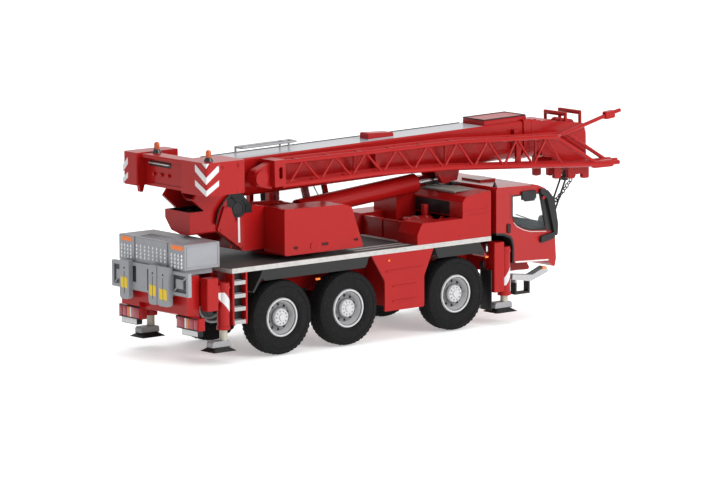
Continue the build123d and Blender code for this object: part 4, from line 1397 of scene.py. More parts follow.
@dataclass
class CabGlazing:
    """Clear panes of both cabs and the black gaskets round them."""

    thickness: float = 0.3
    gasket: float = 0.28
    door_pane_y: float = 24.9
    door_gasket_y: float = 25.15
    screen_gasket_lift: float = 0.3
    inner_panes_y: tuple[float, float] = (10.8, 10.45)
    outer_panes_y: tuple[float, float] = (24.8, 24.95)
    door: Outline = (
        (118.2, 51.4),
        (118.2, 43.6),
        (118.9, 41.4),
        (120.6, 39.6),
        (124.2, 37.9),
        (127.8, 36.9),
        (136.3, 36.2),
        (133.0, 51.4),
    )
    screen: Route = ((139.0, -23, 38.4), (139.0, 23, 38.4), (135.85, 23, 51.4), (135.85, -23, 51.4))
    rear_window: Route = ((109.9, -10, 46), (109.9, 10, 46), (109.9, 10, 52), (109.9, -10, 52))
    operator_side: Outline = (
        (25, 50),
        (51, 50),
        (48, 62.6),
        (45.4, 64.2),
        (25, 64.2),
    )
    operator_door: Outline = (
        (38, 42.5),
        (50.6, 42.5),
        (51.8, 48.6),
        (48, 62.6),
        (45.4, 64.2),
        (38, 64.2),
    )
    operator_rear: Outline = ((25, 50), (36.6, 50), (36.6, 64.2), (25, 64.2))
    operator_front: Route = ((53.1, 12.4, 48.5), (53.1, 23, 48.5), (49.6, 23, 62.5), (49.6, 12.4, 62.5))

    def pane(self, bench: Bench, points: Outline, y: float) -> None:
        """Add a side pane.

        Args:
            bench: the mesh in the making.
            points: (x, z) outline.
            y: its plane.
        """
        push = Vector((0, -math.copysign(self.thickness, y) * MM, 0))
        bench.plate([at(x, y, z) for x, z in points], push)

    def frame(self, bench: Bench, points: Sequence[Vector]) -> None:
        """Run a gasket round an opening.

        Args:
            bench: the mesh in the making.
            points: the opening's corners.
        """
        closed = [*points, points[0], points[1]]
        bench.tube(closed, self.gasket * MM, 8)

    def driver(self, shop: PaintShop) -> None:
        """Glaze the driver's cab.

        Args:
            shop: where finishes come from.
        """
        screen = route(self.screen)
        glass, rubber = Bench(), Bench()
        for side in (Side.RIGHT, Side.LEFT):
            self.pane(glass, self.door, side.value * self.door_pane_y)
            self.frame(rubber, [at(x, side.value * self.door_gasket_y, z) for x, z in self.door])
        glass.plate(screen, Vector((-self.thickness * MM, 0, 0)))
        glass.plate(route(self.rear_window), Vector((self.thickness * MM, 0, 0)))
        self.frame(rubber, [corner + Vector((self.screen_gasket_lift * MM, 0, 0)) for corner in screen])
        glass.piece("driver_cab_glass", "carrier", shop.get(Paint.GLASS), "black_trim")
        rubber.piece("driver_cab_gaskets", "carrier", shop.get(Paint.BLACK), "black_trim")

    def operator(self, shop: PaintShop) -> None:
        """Glaze the operator's cab.

        Args:
            shop: where finishes come from.
        """
        glass, rubber = Bench(), Bench()
        for points, (pane_y, gasket_y) in (
            (self.operator_side, self.inner_panes_y),
            (self.operator_door, self.outer_panes_y),
            (self.operator_rear, self.outer_panes_y),
        ):
            self.pane(glass, points, pane_y)
            self.frame(rubber, [at(x, gasket_y, z) for x, z in points])
        glass.plate(route(self.operator_front), Vector((-self.thickness * MM, 0, 0)))
        glass.piece("operator_cab_glass", "superstructure", shop.get(Paint.GLASS), "black_trim")
        rubber.piece("operator_cab_gaskets", "superstructure", shop.get(Paint.BLACK), "black_trim")

    def build(self, shop: PaintShop) -> None:
        """Glaze both cabs.

        Args:
            shop: where finishes come from.
        """
        self.driver(shop)
        self.operator(shop)


@dataclass(frozen=True)
class DotField:
    """A field of round white dots on the ballast's rear face."""

    low: float
    high: float
    columns: int
    top: float
    radius: float
    rows: int = 4
    row_pitch: float = 1.45


@dataclass
class Markings:
    """Stripes, reflectors and bare patches in flat paint, with no words on them."""

    lift: float = 0.08
    tail_corner: float = 25.8
    stripe_front: float = 6.1
    # Each tail block: side, rear face, reach of its stripes across, and their rise over that reach.
    tail_blocks: tuple[tuple[Side, float, float, float], ...] = (
        (Side.RIGHT, -37.0, 6.9, 1.0),
        (Side.LEFT, -38.0, 3.2, 0.72),
    )
    # Each stripe of a V: its top, its lowest point and its height.
    stripes: tuple[tuple[float, float, float], ...] = ((74.6, 70.1, 2.7), (69.1, 65.5, 2.2))
    tip: tuple[float, float] = (76.2, 78.1)
    tip_rear: float = 2.6
    tip_side: float = 1.4
    strips: tuple[tuple[float, float], ...] = ((12.4, 19.0), (-20.2, -12.6))
    strip_z: tuple[float, float] = (44.7, 46.3)
    strip_parts: int = 4
    strip_gap: float = 0.06
    # Each side marker: x, z and half its length.
    side_markers: tuple[tuple[float, float, float], ...] = (
        (17.6, 28.2, 1.1),
        (104.4, 28.2, 0.8),
        (53.6, 31.8, 0.5),
    )
    bumper_marker: Brick = Brick((134.6, 24.6, 20.1), (136.6, 25.1, 21.1), 0.15)
    dots: tuple[DotField, ...] = (
        DotField(12.8, 18.6, 4, 42.9, 0.62),
        DotField(-9.0, 9.0, 8, 43.6, 0.56),
        DotField(-19.6, -13.2, 4, 42.6, 0.62),
    )
    # Each rack post's pair of patches: its Y range and its lower edge.
    post_patches: tuple[tuple[float, float, float], ...] = (
        (11.6, 16.0, 26.6),
        (-6.6, -2.3, 25.6),
        (-13.6, -8.6, 24.8),
    )
    post_patch_gap: float = 0.15
    post_patch_height: float = 4.6
    post_patch_skew: float = 0.5
    plate_x: float = -40.6
    plate_z: tuple[float, float] = (11.6, 13.6)
    plate_width: float = 9.7
    plate_starts: tuple[float, ...] = (-24.2, 14.5)
    sill: Outline = ((119.9, 24.2), (137.6, 23.4), (137.6, 24.0), (119.9, 24.8))
    cheek_y: float = -11.0
    cheek_lift: float = 0.12
    cheek: Outline = ((-10.3, 43.6), (-9.3, 43.6), (-9.5, 53.4), (-10.4, 53.4))

    def side_patch(self, bench: Bench, points: Outline, y: float) -> None:
        """Add a thin patch of (x, z) corners on a side face at y."""
        push = Vector((0, math.copysign(self.lift, y) * MM, 0))
        bench.plate([at(x, y, z) for x, z in points], push)

    def rear_patch(self, bench: Bench, points: Outline, x: float) -> None:
        """Add a thin patch of (y, z) corners on a rear face at x."""
        bench.plate([at(x, y, z) for y, z in points], Vector((-self.lift * MM, 0, 0)))

    def chevrons(self, shop: PaintShop) -> None:
        """Stripe the tail's outer corners with two broad V shapes each.

        Args:
            shop: where finishes come from.
        """
        bench = Bench()
        for side, rear_x, reach, rise in self.tail_blocks:
            corner = side.value * self.tail_corner
            inner = corner + math.copysign(reach, -corner)
            front_x = rear_x + self.stripe_front
            for top, point, tall in self.stripes:
                edge = point + (top - point) * rise
                self.rear_patch(
                    bench,
                    ((corner, point), (corner, point + tall), (inner, edge + tall), (inner, edge)),
                    rear_x,
                )
                self.side_patch(
                    bench,
                    ((rear_x, point), (rear_x, point + tall), (front_x, edge + tall), (front_x, edge)),
                    corner,
                )
            if side is Side.RIGHT:
                low, high = self.tip
                rear_end, side_end = corner + self.tip_rear, rear_x + self.tip_side
                self.rear_patch(bench, ((corner, low), (corner, high), (rear_end, high)), rear_x)
                self.side_patch(bench, ((rear_x, low), (rear_x, high), (side_end, high)), corner)
        bench.piece("tail_chevrons", "superstructure", shop.get(Paint.WHITE), "grey_paint")

    def reflectors(self, shop: PaintShop) -> None:
        """Put orange strips on the ballast and orange markers along the sides.

        Args:
            shop: where finishes come from.
        """
        bench = Bench()
        bottom, top = self.strip_z
        for low, high in self.strips:
            step = (high - low) / self.strip_parts
            for k in range(self.strip_parts):
                y0, y1 = low + k * step + self.strip_gap, low + (k + 1) * step - self.strip_gap
                self.rear_patch(bench, ((y0, bottom), (y1, bottom), (y1, top), (y0, top)), BALLAST_REAR)
        for sign in (-1, 1):
            y = sign * 25.3
            for x, z, half in self.side_markers:
                low, high = sorted((y - sign * 0.15, y + sign * 0.3))
                bench.block(at(x - half, low, z - 0.4), at(x + half, high, z + 0.4), 0.12 * MM)
            bench.bricks((self.bumper_marker,), sign)
        bench.piece("orange_reflectors", "carrier", shop.get(Paint.ORANGE), "amber")

    def dot_fields(self, shop: PaintShop) -> None:
        """Put the fields of white dots on the ballast's rear face; their glow is painted light.

        Args:
            shop: where finishes come from.
        """
        bench = Bench()
        for patch in self.dots:
            for column in range(patch.columns):
                y = patch.low + (patch.high - patch.low) * column / (patch.columns - 1)
                for row in range(patch.rows):
                    z = patch.top - patch.row_pitch * row
                    start, end = at(BALLAST_REAR, y, z), at(BALLAST_REAR - self.lift, y, z)
                    bench.rod(start, end, patch.radius * MM, 12, 0.9)
        bench.piece("rear_dot_fields", "carrier", shop.get(Paint.PEARL), "grey_paint")

    def patches(self, shop: PaintShop) -> None:
        """Lay plain yellow, white and pale patches where the model carries stickers.

        Args:
            shop: where finishes come from.
        """
        bench = Bench()
        skew, height = self.post_patch_skew, self.post_patch_height
        for low, high, bottom in self.post_patches:
            wide = (high - low) / 2
            for k in range(2):
                y0 = low + wide * k + self.post_patch_gap
                y1 = y0 + wide - 2 * self.post_patch_gap
                self.rear_patch(
                    bench,
                    ((y0, bottom), (y1, bottom + skew), (y1, bottom + height), (y0, bottom + height - skew)),
                    RACK_POST_REAR,
                )
        bench.piece("yellow_patches", "carrier", shop.get(Paint.YELLOW), "amber")

        bench = Bench()
        low, high = self.plate_z
        for y in self.plate_starts:
            end = y + self.plate_width
            self.rear_patch(bench, ((y, low), (end, low), (end, high), (y, high)), self.plate_x)
        for sign in (-1, 1):
            self.side_patch(bench, self.sill, sign * SIDE_Y)
        bench.piece("pale_strips", "carrier", shop.get(Paint.WHITE), "grey_paint")

        bench = Bench()
        bench.plate([at(x, self.cheek_y, z) for x, z in self.cheek], Vector((0, -self.cheek_lift * MM, 0)))
        bench.piece("cheek_strip", "superstructure", shop.get(Paint.WHITE), "grey_paint")

    def build(self, shop: PaintShop) -> None:
        """Add every marking.

        Args:
            shop: where finishes come from.
        """
        self.chevrons(shop)
        self.reflectors(shop)
        self.dot_fields(shop)
        self.patches(shop)


@dataclass
class RearLamps:
    """Lamp clusters on the two rear bars: lenses in a black frame."""

    face_x: float = -41.0
    low: float = 14.2
    high: float = 18.2
    inner: float = 11.9
    outer: float = 25.0
    gap: float = 0.12
    proud: float = 0.4
    sunk: float = 0.1
    rail_gap: float = 0.05
    rail_height: float = 0.3
    rail_proud: float = 0.5
    shares: tuple[tuple[Paint, float], ...] = (
        (Paint.TAIL_RED, 0.38),
        (Paint.WHITE_LENS, 0.1),
        (Paint.AMBER, 0.12),
        (Paint.TAIL_RED, 0.22),
        (Paint.TAIL_RED, 0.18),
    )

    def build(self, shop: PaintShop) -> None:
        """Fit lenses and frames.

        Args:
            shop: where finishes come from.
        """
        lenses: dict[Paint, Bench] = {}
        frame = Bench()
        near = self.face_x + self.sunk
        for side in Side:
            y = self.inner
            for paint, share in self.shares:
                width = (self.outer - self.inner) * share
                low, high = span(side.value, y + self.gap, y + width - self.gap)
                bench = lenses.setdefault(paint, Bench())
                far = self.face_x - self.proud
                bench.block(at(far, low, self.low), at(near, high, self.high), 0.15 * MM)
                y += width
            low, high = span(side.value, self.inner, self.outer)
            far = self.face_x - self.rail_proud
            for z in (self.low - self.rail_gap - self.rail_height, self.high + self.rail_gap):
                frame.block(at(far, low, z), at(near, high, z + self.rail_height), 0.08 * MM)
        for paint, bench in lenses.items():
            slot = "amber" if paint is Paint.AMBER else "red_paint"
            bench.piece(f"rear_{paint.value.name}", "carrier", shop.get(paint), slot)
        frame.piece("rear_lamp_frames", "carrier", shop.get(Paint.BLACK), "black_trim")


@dataclass
class HoodDress:
    """Grille slats, painted shade in the recesses, creases and pipes on and behind the engine housing."""

    slats: int = 26
    grille_x: tuple[float, float] = (94.7, 105.5)
    grille_y: tuple[float, float] = (-16.9, 9.4)
    top: float = 54.9
    recesses: tuple[Brick, ...] = (
        Brick((91.75, -16.9, 45.6), (91.95, 3.9, 50.7), 0.05),
        Brick((92.0, -16.8, 38.0), (92.1, 4.0, 45.0)),
    )
    creases: tuple[Brick, ...] = (
        Brick((93.0, 25.0, 47.2), (98.4, 25.32, 47.7), 0.14),
        Brick((98.2, 25.0, 47.5), (106.2, 25.32, 48.0), 0.14),
        Brick((93.0, 25.0, 45.9), (106.2, 25.32, 46.1), 0.08),
    )
    bolt_y: float = 25.12
    bolts: Outline = ((70.0, 38.0), (70.0, 43.2), (90.4, 38.0), (90.4, 43.2))
    pipe_radius: float = 0.55
    pipe: Route = (
        (74.6, -14.6, 37.2),
        (74.6, -14.6, 40.4),
        (76.4, -14.4, 41.8),
        (88.6, -13.6, 42.2),
        (91.2, -13.2, 44.2),
        (92.2, -13.0, 44.2),
    )
    pipe_rings: Route = ((78.0, -14.2, 42.0), (86.0, -14.2, 42.0))
    filler_radius: float = 0.9
    filler_cap_radius: float = 1.2
    filler: Route = ((85.5, -17.5, 36.4), (85.5, -17.5, 40.6), (85.5, -17.5, 41.5))
    stub_radius: float = 0.6
    stub: Route = ((81.0, -19.2, 36.4), (81.0, -19.2, 39.4))
    valve_box: Brick = Brick((78.4, -20.8, 36.4), (80.2, -18.0, 38.2), 0.25)
    strap_radius: float = 4.05
    strap_wire: float = 0.18
    straps: Route = ((78.5, -6.5, 40.6), (83.0, -6.5, 40.6), (87.5, -6.5, 40.6))

    def grille(self, shop: PaintShop) -> None:
        """Lay the slats over their three bearers.

        Args:
            shop: where finishes come from.
        """
        bench = Bench()
        y0, y1 = self.grille_y
        pitch = (y1 - y0) / self.slats
        for k in range(self.slats):
            y = y0 + pitch * (k + 0.5)
            low = at(self.grille_x[0], y - pitch * 0.2, self.top - 0.75)
            high = at(self.grille_x[1], y + pitch * 0.2, self.top - 0.1)
            bench.block(low, high, 0.08 * MM)
        for x in (self.grille_x[0] + 0.2, 100.1, self.grille_x[1] - 0.6):
            bench.block(at(x, y0, self.top - 1.6), at(x + 0.4, y1, self.top - 0.5))
        bench.piece("hood_grille", "carrier", shop.get(Paint.SLAT), "muffler_steel")

    def shade(self, shop: PaintShop) -> None:
        """Paint shade into the housing's rear openings and onto the grille's floor, as thin black sheets.

        Args:
            shop: where finishes come from.
        """
        bench = Bench()
        bench.bricks(self.recesses)
        (x0, x1), (y0, y1) = self.grille_x, self.grille_y
        bench.block(at(x0, y0, self.top - 1.68), at(x1, y1, self.top - 1.5), 0.05 * MM)
        bench.piece("hood_dark_recesses", "carrier", shop.get(Paint.BLACK), "black_trim")

    def crease(self, shop: PaintShop) -> None:
        """Raise the creases and bolt the side lockers.

        Args:
            shop: where finishes come from.
        """
        bench = Bench()
        for sign in (-1, 1):
            bench.bricks(self.creases, sign)
            for x, z in self.bolts:
                bench.bolt(at(x, sign * self.bolt_y, z), Vector((0, sign, 0)), 0.3 * MM, 0.25 * MM)
        bench.piece("hood_creases", "carrier", shop.get(Paint.RED), "red_paint")

    def pipes(self, shop: PaintShop) -> None:
        """Run the pipe over the deck, with the filler, the stub and the valve box beside it.

        Args:
            shop: where finishes come from.
        """
        bench = Bench()
        ahead = Vector((1, 0, 0))
        bench.tube(route(self.pipe), self.pipe_radius * MM, 12)
        for spot in route(self.pipe_rings):
            bench.ring(spot, ahead, 0.62 * MM, 0.18 * MM, 12)
        foot, neck, cap = route(self.filler)
        bench.rod(foot, neck, self.filler_radius * MM, 16)
        bench.rod(neck, cap, self.filler_cap_radius * MM, 16, 0.8)
        bench.rod(*route(self.stub), self.stub_radius * MM, 12)
        bench.bricks((self.valve_box,))
        bench.piece("deck_pipes", "carrier", shop.get(Paint.RED), "red_paint")

        bench = Bench()
        for spot in route(self.straps):
            bench.ring(spot, ahead, self.strap_radius * MM, self.strap_wire * MM, 36)
        bench.piece("muffler_straps", "carrier", shop.get(Paint.SILVER), "muffler_steel")

    def build(self, shop: PaintShop) -> None:
        """Dress the engine housing and the deck behind it.

        Args:
            shop: where finishes come from.
        """
        self.grille(shop)
        self.shade(shop)
        self.crease(shop)
        self.pipes(shop)


@dataclass
class DriverCabDress:
    """Handles, mirrors, seams, wipers, grille bars and lamps of the driver's cab, and a painted highlight
    line below each door window.
    """

    handle: Brick = Brick((115.2, 25.1, 36.6), (116.9, 25.75, 40.4), 0.55, 3)
    mirror: Brick = Brick((122.6, 25.1, 49.4), (130.4, 26.3, 53.0), 0.55, 3)
    mirror_foot: Brick = Brick((124.2, 25.1, 48.7), (129.6, 26.3, 49.8), 0.4, 3)
    door_seam: Brick = Brick((117.1, 25.12, 42.2), (117.2, 25.27, 52.6))
    wiper_pivots: tuple[float, ...] = (-14.0, 2.0)
    wiper_radius: float = 0.22
    lower_bar: Brick = Brick((139.7, -20.0, 28.6), (140.6, 20.0, 31.4), 0.4, 3)
    thin_bars: int = 3
    thin_bar_low: float = 32.6
    thin_bar_pitch: float = 1.25
    aerial: Route = ((112.0, -21.6, 55.2), (112.0, -21.6, 57.4))
    aerial_radius: float = 1.05
    line_y: float = 25.3
    line_radius: float = 0.13
    window_line: Outline = ((118.9, 40.65), (120.6, 38.85), (124.2, 37.15), (127.8, 36.15), (136.3, 35.45))
    dot: tuple[float, float] = (133.9, 49.5)
    dot_radius: float = 0.65
    head_lamp: Brick = Brick((139.9, 15.6, 23.2), (140.7, 23.2, 27.2), 0.5, 3)

    def trim(self, shop: PaintShop) -> None:
        """Fit everything black.

        Args:
            shop: where finishes come from.
        """
        black = Bench()
        for side in Side:
            black.bricks((self.handle, self.mirror, self.mirror_foot, self.door_seam), side.value)
        for y in self.wiper_pivots:
            arm = ((140.2, y, 37.2), (140.0, y + 1.0, 38.2), (139.6, y + 11.0, 39.6))
            black.tube(route(arm), self.wiper_radius * MM)
        black.bricks((self.lower_bar,))
        for k in range(self.thin_bars):
            z = self.thin_bar_low + k * self.thin_bar_pitch
            black.block(at(139.8, -17.0, z), at(140.45, 17.0, z + 0.6), 0.12 * MM)
        black.rod(*route(self.aerial), self.aerial_radius * MM, 16, 0.15)
        black.piece("driver_cab_trim_set", "carrier", shop.get(Paint.BLACK), "black_trim")

    def build(self, shop: PaintShop) -> None:
        """Dress the driver's cab.

        Args:
            shop: where finishes come from.
        """
        self.trim(shop)
        # A pale line below each door window is a painted highlight on the window's ledge.
        pale = Bench()
        for side in Side:
            y = side.value * self.line_y
            pale.tube([at(x, y, z) for x, z in self.window_line], self.line_radius * MM)
        pale.piece("door_light_lines", "carrier", shop.get(Paint.WHITE), "grey_paint")

        red = Bench()
        x, z = self.dot
        for side in Side:
            y0, y1 = span(side.value, 26.3, 26.6)
            red.rod(at(x, y0, z), at(x, y1, z), self.dot_radius * MM, 16)
        red.piece("pillar_dots", "carrier", shop.get(Paint.RED), "red_paint")

        lamps = Bench()
        for side in Side:
            lamps.bricks((self.head_lamp,), side.value)
        lamps.piece("head_lamps", "carrier", shop.get(Paint.WHITE_LENS), "grey_paint")


@dataclass
class SuperDress:
    """Catches, hoses, bolts, the tail's slot bar and the operator's cab trim of the superstructure."""

    side_y: float = -23.0
    # Each catch on the machinery housing: x, z and half its length.
    catches: tuple[tuple[float, float, float], ...] = (
        (23.2, 41.2, 1.5),
        (8.6, 41.0, 0.9),
        (38.8, 41.4, 0.9),
    )
    hoses: int = 5
    hose_radius: float = 0.24
    hub: tuple[float, float] = (-9.3, 56.6)
    hub_y: tuple[float, float] = (9.7, 8.7)
    hub_radius: float = 3.65
    hub_ring: float = 2.6
    cheek_bolt_y: float = -10.98
    cheek_bolts: Outline = ((-14.0, 42.4), (-18.6, 49.4), (-8.2, 41.6), (-11.4, 52.0), (-16.0, 57.8))
    tail_bolt_y: float = 25.75
    tail_bolt_x: tuple[float, ...] = (-35.4, -31.2, -22.0, -19.2)
    tail_bolt_z: tuple[float, ...] = (66.2, 76.9)
    slot_shade: Brick = Brick((-33.3, 1.1, 73.25), (-32.9, 14.9, 75.35))
    slot_bar_x: float = -33.9
    slot_bar_z: float = 74.5
    slot_bar_ends: tuple[float, float] = (1.6, 14.4)
    slot_bar_radius: float = 0.42
    operator_trim: tuple[Brick, ...] = (
        Brick((37.3, 24.9, 40.2), (37.45, 25.12, 65.0)),
        Brick((52.6, 24.9, 41.0), (52.75, 25.12, 48.0)),
        Brick((38.6, 24.9, 46.6), (40.6, 25.5, 47.4), 0.2),
    )
    operator_wiper: Route = ((53.4, 14.0, 48.2), (52.6, 16.0, 51.6), (50.8, 19.4, 58.6))
    operator_vents: tuple[Brick, ...] = (
        Brick((24.0, 24.9, 42.0), (35.0, 25.1, 42.5), 0.1),
        Brick((24.0, 24.9, 44.0), (35.0, 25.1, 44.5), 0.1),
    )

    def housing(self, shop: PaintShop) -> None:
        """Three slotted catches low on the machinery housing's side.

        Args:
            shop: where finishes come from.
        """
        bench = Bench()
        y0, y1 = self.side_y - 0.12, self.side_y + 0.2
        for x, z, half in self.catches:
            bench.block(at(x - half, y0, z - 0.5), at(x + half, y1, z + 0.5), 0.45 * MM, 3)
            for k in range(3):
                slot_x = x - half * 0.6 + half * 0.6 * k
                bench.block(at(slot_x - 0.08, y0 - 0.08, z - 0.3), at(slot_x + 0.08, y0, z + 0.3))
        bench.piece("housing_louvres", "superstructure", shop.get(Paint.BLACK), "black_trim")

    def hose(self, k: int) -> list[Vector]:
        """Route of one hose from the hub back to the dark opening.

        Args:
            k: its number, counted outwards.

        Returns:
            Its points.
        """
        y = -10.3 - k * 0.28
        return [
            at(-10.4 - k * 0.5, -9.8, 59.4 + k * 0.5),
            at(-12.6 - k * 0.5, y, 61.6 + k * 0.2),
            at(-15.4 - k * 0.45, y - 0.2, 61.4 - k * 0.2),
            at(-18.6 - k * 0.4, y - 0.2, 57.6 - k * 0.2),
            at(-20.6 - k * 0.2, y, 53.4 - k * 0.3),
            at(-20.4, -9.8, 50.6 + k * 0.3),
        ]

    def turntable(self, shop: PaintShop) -> None:
        """Hoses and hubs at the boom's pivot, and the bolts of the cheek plates and the tail.

        Args:
            shop: where finishes come from.
        """
        bench = Bench()
        for k in range(self.hoses):
            bench.tube(self.hose(k), self.hose_radius * MM, 8)
        x, z = self.hub
        far, near = self.hub_y
        for sign in (-1, 1):
            bench.rod(at(x, sign * far, z), at(x, sign * near, z), self.hub_radius * MM, 32)
            bench.ring(at(x, sign * far, z), Vector((0, 1, 0)), self.hub_ring * MM, 0.3 * MM)
        bench.piece("slew_hoses", "superstructure", shop.get(Paint.BLACK), "black_trim")

        bench = Bench()
        for x, z in self.cheek_bolts:
            bench.bolt(at(x, self.cheek_bolt_y, z), Vector((0, -1, 0)), 0.4 * MM, 0.35 * MM)
        for x in self.tail_bolt_x:
            for sign in (-1, 1):
                for z in self.tail_bolt_z:
                    bench.bolt(at(x, self.tail_bolt_y * sign, z), Vector((0, sign, 0)), 0.34 * MM, 0.3 * MM)
        bench.piece("superstructure_bolts", "superstructure", shop.get(Paint.RED), "red_paint")

    def tail(self, shop: PaintShop) -> None:
        """The pale bar in the tail's slot and its dark backing.

        Args:
            shop: where finishes come from.
        """
        bench = Bench()
        bench.bricks((self.slot_shade,))
        bench.piece("tail_slot_shade", "superstructure", shop.get(Paint.BLACK), "black_trim")
        bench = Bench()
        x, z = self.slot_bar_x, self.slot_bar_z
        low, high = self.slot_bar_ends
        bench.rod(at(x, low, z), at(x, high, z), self.slot_bar_radius * MM, 16)
        for y in self.slot_bar_ends:
            bench.rod(at(x, y, z), at(x + 0.7, y, z), 0.3 * MM, 12)
        bench.piece("tail_slot_bar", "superstructure", shop.get(Paint.MUFFLER), "muffler_steel")

    def operator(self, shop: PaintShop) -> None:
        """Seams, handle, wiper and vents of the operator's cab.

        Args:
            shop: where finishes come from.
        """
        bench = Bench()
        bench.bricks(self.operator_trim)
        bench.tube(route(self.operator_wiper), 0.22 * MM)
        bench.bricks(self.operator_vents)
        bench.piece("operator_cab_trim", "superstructure", shop.get(Paint.BLACK), "black_trim")

    def build(self, shop: PaintShop) -> None:
        """Dress the superstructure.

        Args:
            shop: where finishes come from.
        """
        self.housing(shop)
        self.turntable(shop)
        self.tail(shop)
        self.operator(shop)


@dataclass
class WinchRope:
    """A layer of wire rope wound on the drum."""

    centre: tuple[float, float] = (-25.0, 53.8)
    low: float = -7.7
    high: float = 0.1
    radius: float = 2.25
    rope: float = 0.22
    depth: float = 0.5
    facets: int = 4

    def build(self, shop: PaintShop) -> None:
        """Wind the rope.

        Args:
            shop: where finishes come from.
        """
        bench = Bench()
        turns = int((self.high - self.low) / (2 * self.rope))
        profile = []
        for k in range(turns):
            y = self.low + 2 * self.rope * (k + 0.5)
            for part in range(self.facets + 1):
                angle = math.pi * (1 - part / self.facets)
                profile.append((y + self.rope * math.cos(angle), self.radius + self.rope * math.sin(angle)))
        inner = self.radius - self.depth
        profile += [(self.high, inner), (self.low, inner)]
        x, z = self.centre
        bench.turned([(y * MM, r * MM) for y, r in profile], at(x, 0, z), 40)
        bench.piece("winch_rope", "winch", shop.get(Paint.ROPE), "dark_metal", smooth=60.0)


@dataclass
class BoomDress:
    """Painted shade on the edges of the top plates, and bolts and head pins of the boom, all given in the
    level boom.
    """

    top: float = BOOM_TOP
    cover_x: tuple[float, float] = (119.5, 141.8)
    cover_low: float = 1.9
    cover_high: float = 2.42
    pivot_bolts: Outline = ((-18.5, 70.0), (98.0, 60.6))
    flank_bolt_x: tuple[float, ...] = (3.0, 58.0, 132.0)
    flank_bolt_z: float = 72.6
    # Each pin of the head: x, z and radius.
    head_pins: tuple[tuple[float, float, float], ...] = (
        (167.4, 70.6, 1.3),
        (170.2, 54.0, 1.2),
        (155.0, 60.0, 0.6),
        (160.0, 60.0, 0.6),
    )
    head_pin_y: float = 6.15
    head_rods: tuple[float, ...] = (163.8, 171.7)
    head_rod_z: float = 75.6

    def block(self, bench: Bench, low: Point, high: Point, bevel: float) -> None:
        """Add a block in the level boom and pitch it.

        Args:
            bench: the mesh in the making.
            low: lowest corner in level boom millimetres.
            high: highest corner.
            bevel: edge rounding in millimetres.
        """
        verts = bench.block(at(*low), at(*high), bevel * MM)
        pivot = at(BOOM_PIN[0], 0, BOOM_PIN[1])
        turn = Matrix.Rotation(-BOOM_PITCH, 4, "Y")
        place = Matrix.Translation(pivot) @ turn @ Matrix.Translation(-pivot)
        bmesh.ops.transform(bench.bm, matrix=place, verts=verts)

    def edges(self, shop: PaintShop) -> None:
        """Paint shade as black strips along the top plate's far edge and round the cover.

        Args:
            shop: where finishes come from.
        """
        bench = Bench()
        low, high = self.top + self.cover_low, self.top + self.cover_high
        self.block(bench, (-14.0, 7.4, self.top - 0.1), (118.4, 7.65, self.top + 0.25), 0.08)
        for y in (-6.6, 6.3):
            self.block(bench, (self.cover_x[0], y, low), (self.cover_x[1], y + 0.3, high), 0.1)
        for x in (119.4, 141.6):
            self.block(bench, (x, -6.6, low), (x + 0.3, 6.6, high), 0.1)
        bench.piece("boom_top_edges", "boom", shop.get(Paint.BLACK), "black_trim")

    def build(self, shop: PaintShop) -> None:
        """Dress boom and head.

        Args:
            shop: where finishes come from.
        """
        self.edges(shop)
        bench = Bench()
        for sign in (-1, 1):
            out = Vector((0, sign, 0))
            for x, z in self.pivot_bolts:
                bench.bolt(on_boom(x, sign * 8.55, z), out, 1.0 * MM, 0.5 * MM)
            for x in self.flank_bolt_x:
                for dx in (-1.0, 1.0):
                    bench.bolt(on_boom(x + dx, sign * 8.0, self.flank_bolt_z), out, 0.35 * MM, 0.3 * MM)
        bench.piece("boom_bolts", "boom", shop.get(Paint.RED), "red_paint")

        bench = Bench()
        for sign in (-1, 1):
            for x, z, r in self.head_pins:
                bench.bolt(on_boom(x, sign * self.head_pin_y, z), Vector((0, sign, 0)), r * MM, 0.6 * MM)
        for x in self.head_rods:
            z = self.head_rod_z
            bench.rod(on_boom(x, -3.2, z), on_boom(x, 3.2, z), 0.3 * MM, 12)
        bench.piece("head_pins", "head", shop.get(Paint.CHROME), "rim_silver")


@dataclass
class HookChain:
    """Chain with its shackle, from the head's lug down to the hook block."""

    start: Point = (172.6, -1.2, 52.6)
    end: Point = (160.4, -1.2, 41.4)
    link: float = 0.8
    wire: float = 0.24
    link_pitch: float = 1.62
    sag: float = 0.9
    shackle: float = 0.95

    def build(self, shop: PaintShop) -> None:
        """Hang the chain.

        Args:
            shop: where finishes come from.
        """
        bench = Bench()
        first, last = at(*self.start), at(*self.end)
        way = (last - first).normalized()
        across = Vector((0, 1, 0))
        count = int((last - first).length / (self.link * self.link_pitch * MM))
        for k in range(count):
            share = (k + 0.5) / count
            drop = Vector((0, 0, self.sag * MM * math.sin(math.pi * share)))
            axis = across if k % 2 else way.cross(across)
            bench.ring(first.lerp(last, share) - drop, axis, self.link * MM, self.wire * MM, 12)
        bench.ring(first, across, self.shackle * MM, self.wire * MM, 16)
        bench.rod(first - across * 1.2 * MM, first + across * 1.2 * MM, 0.3 * MM, 12)
        bench.piece("hook_chain", "hook_block", shop.get(Paint.ROPE), "dark_metal")


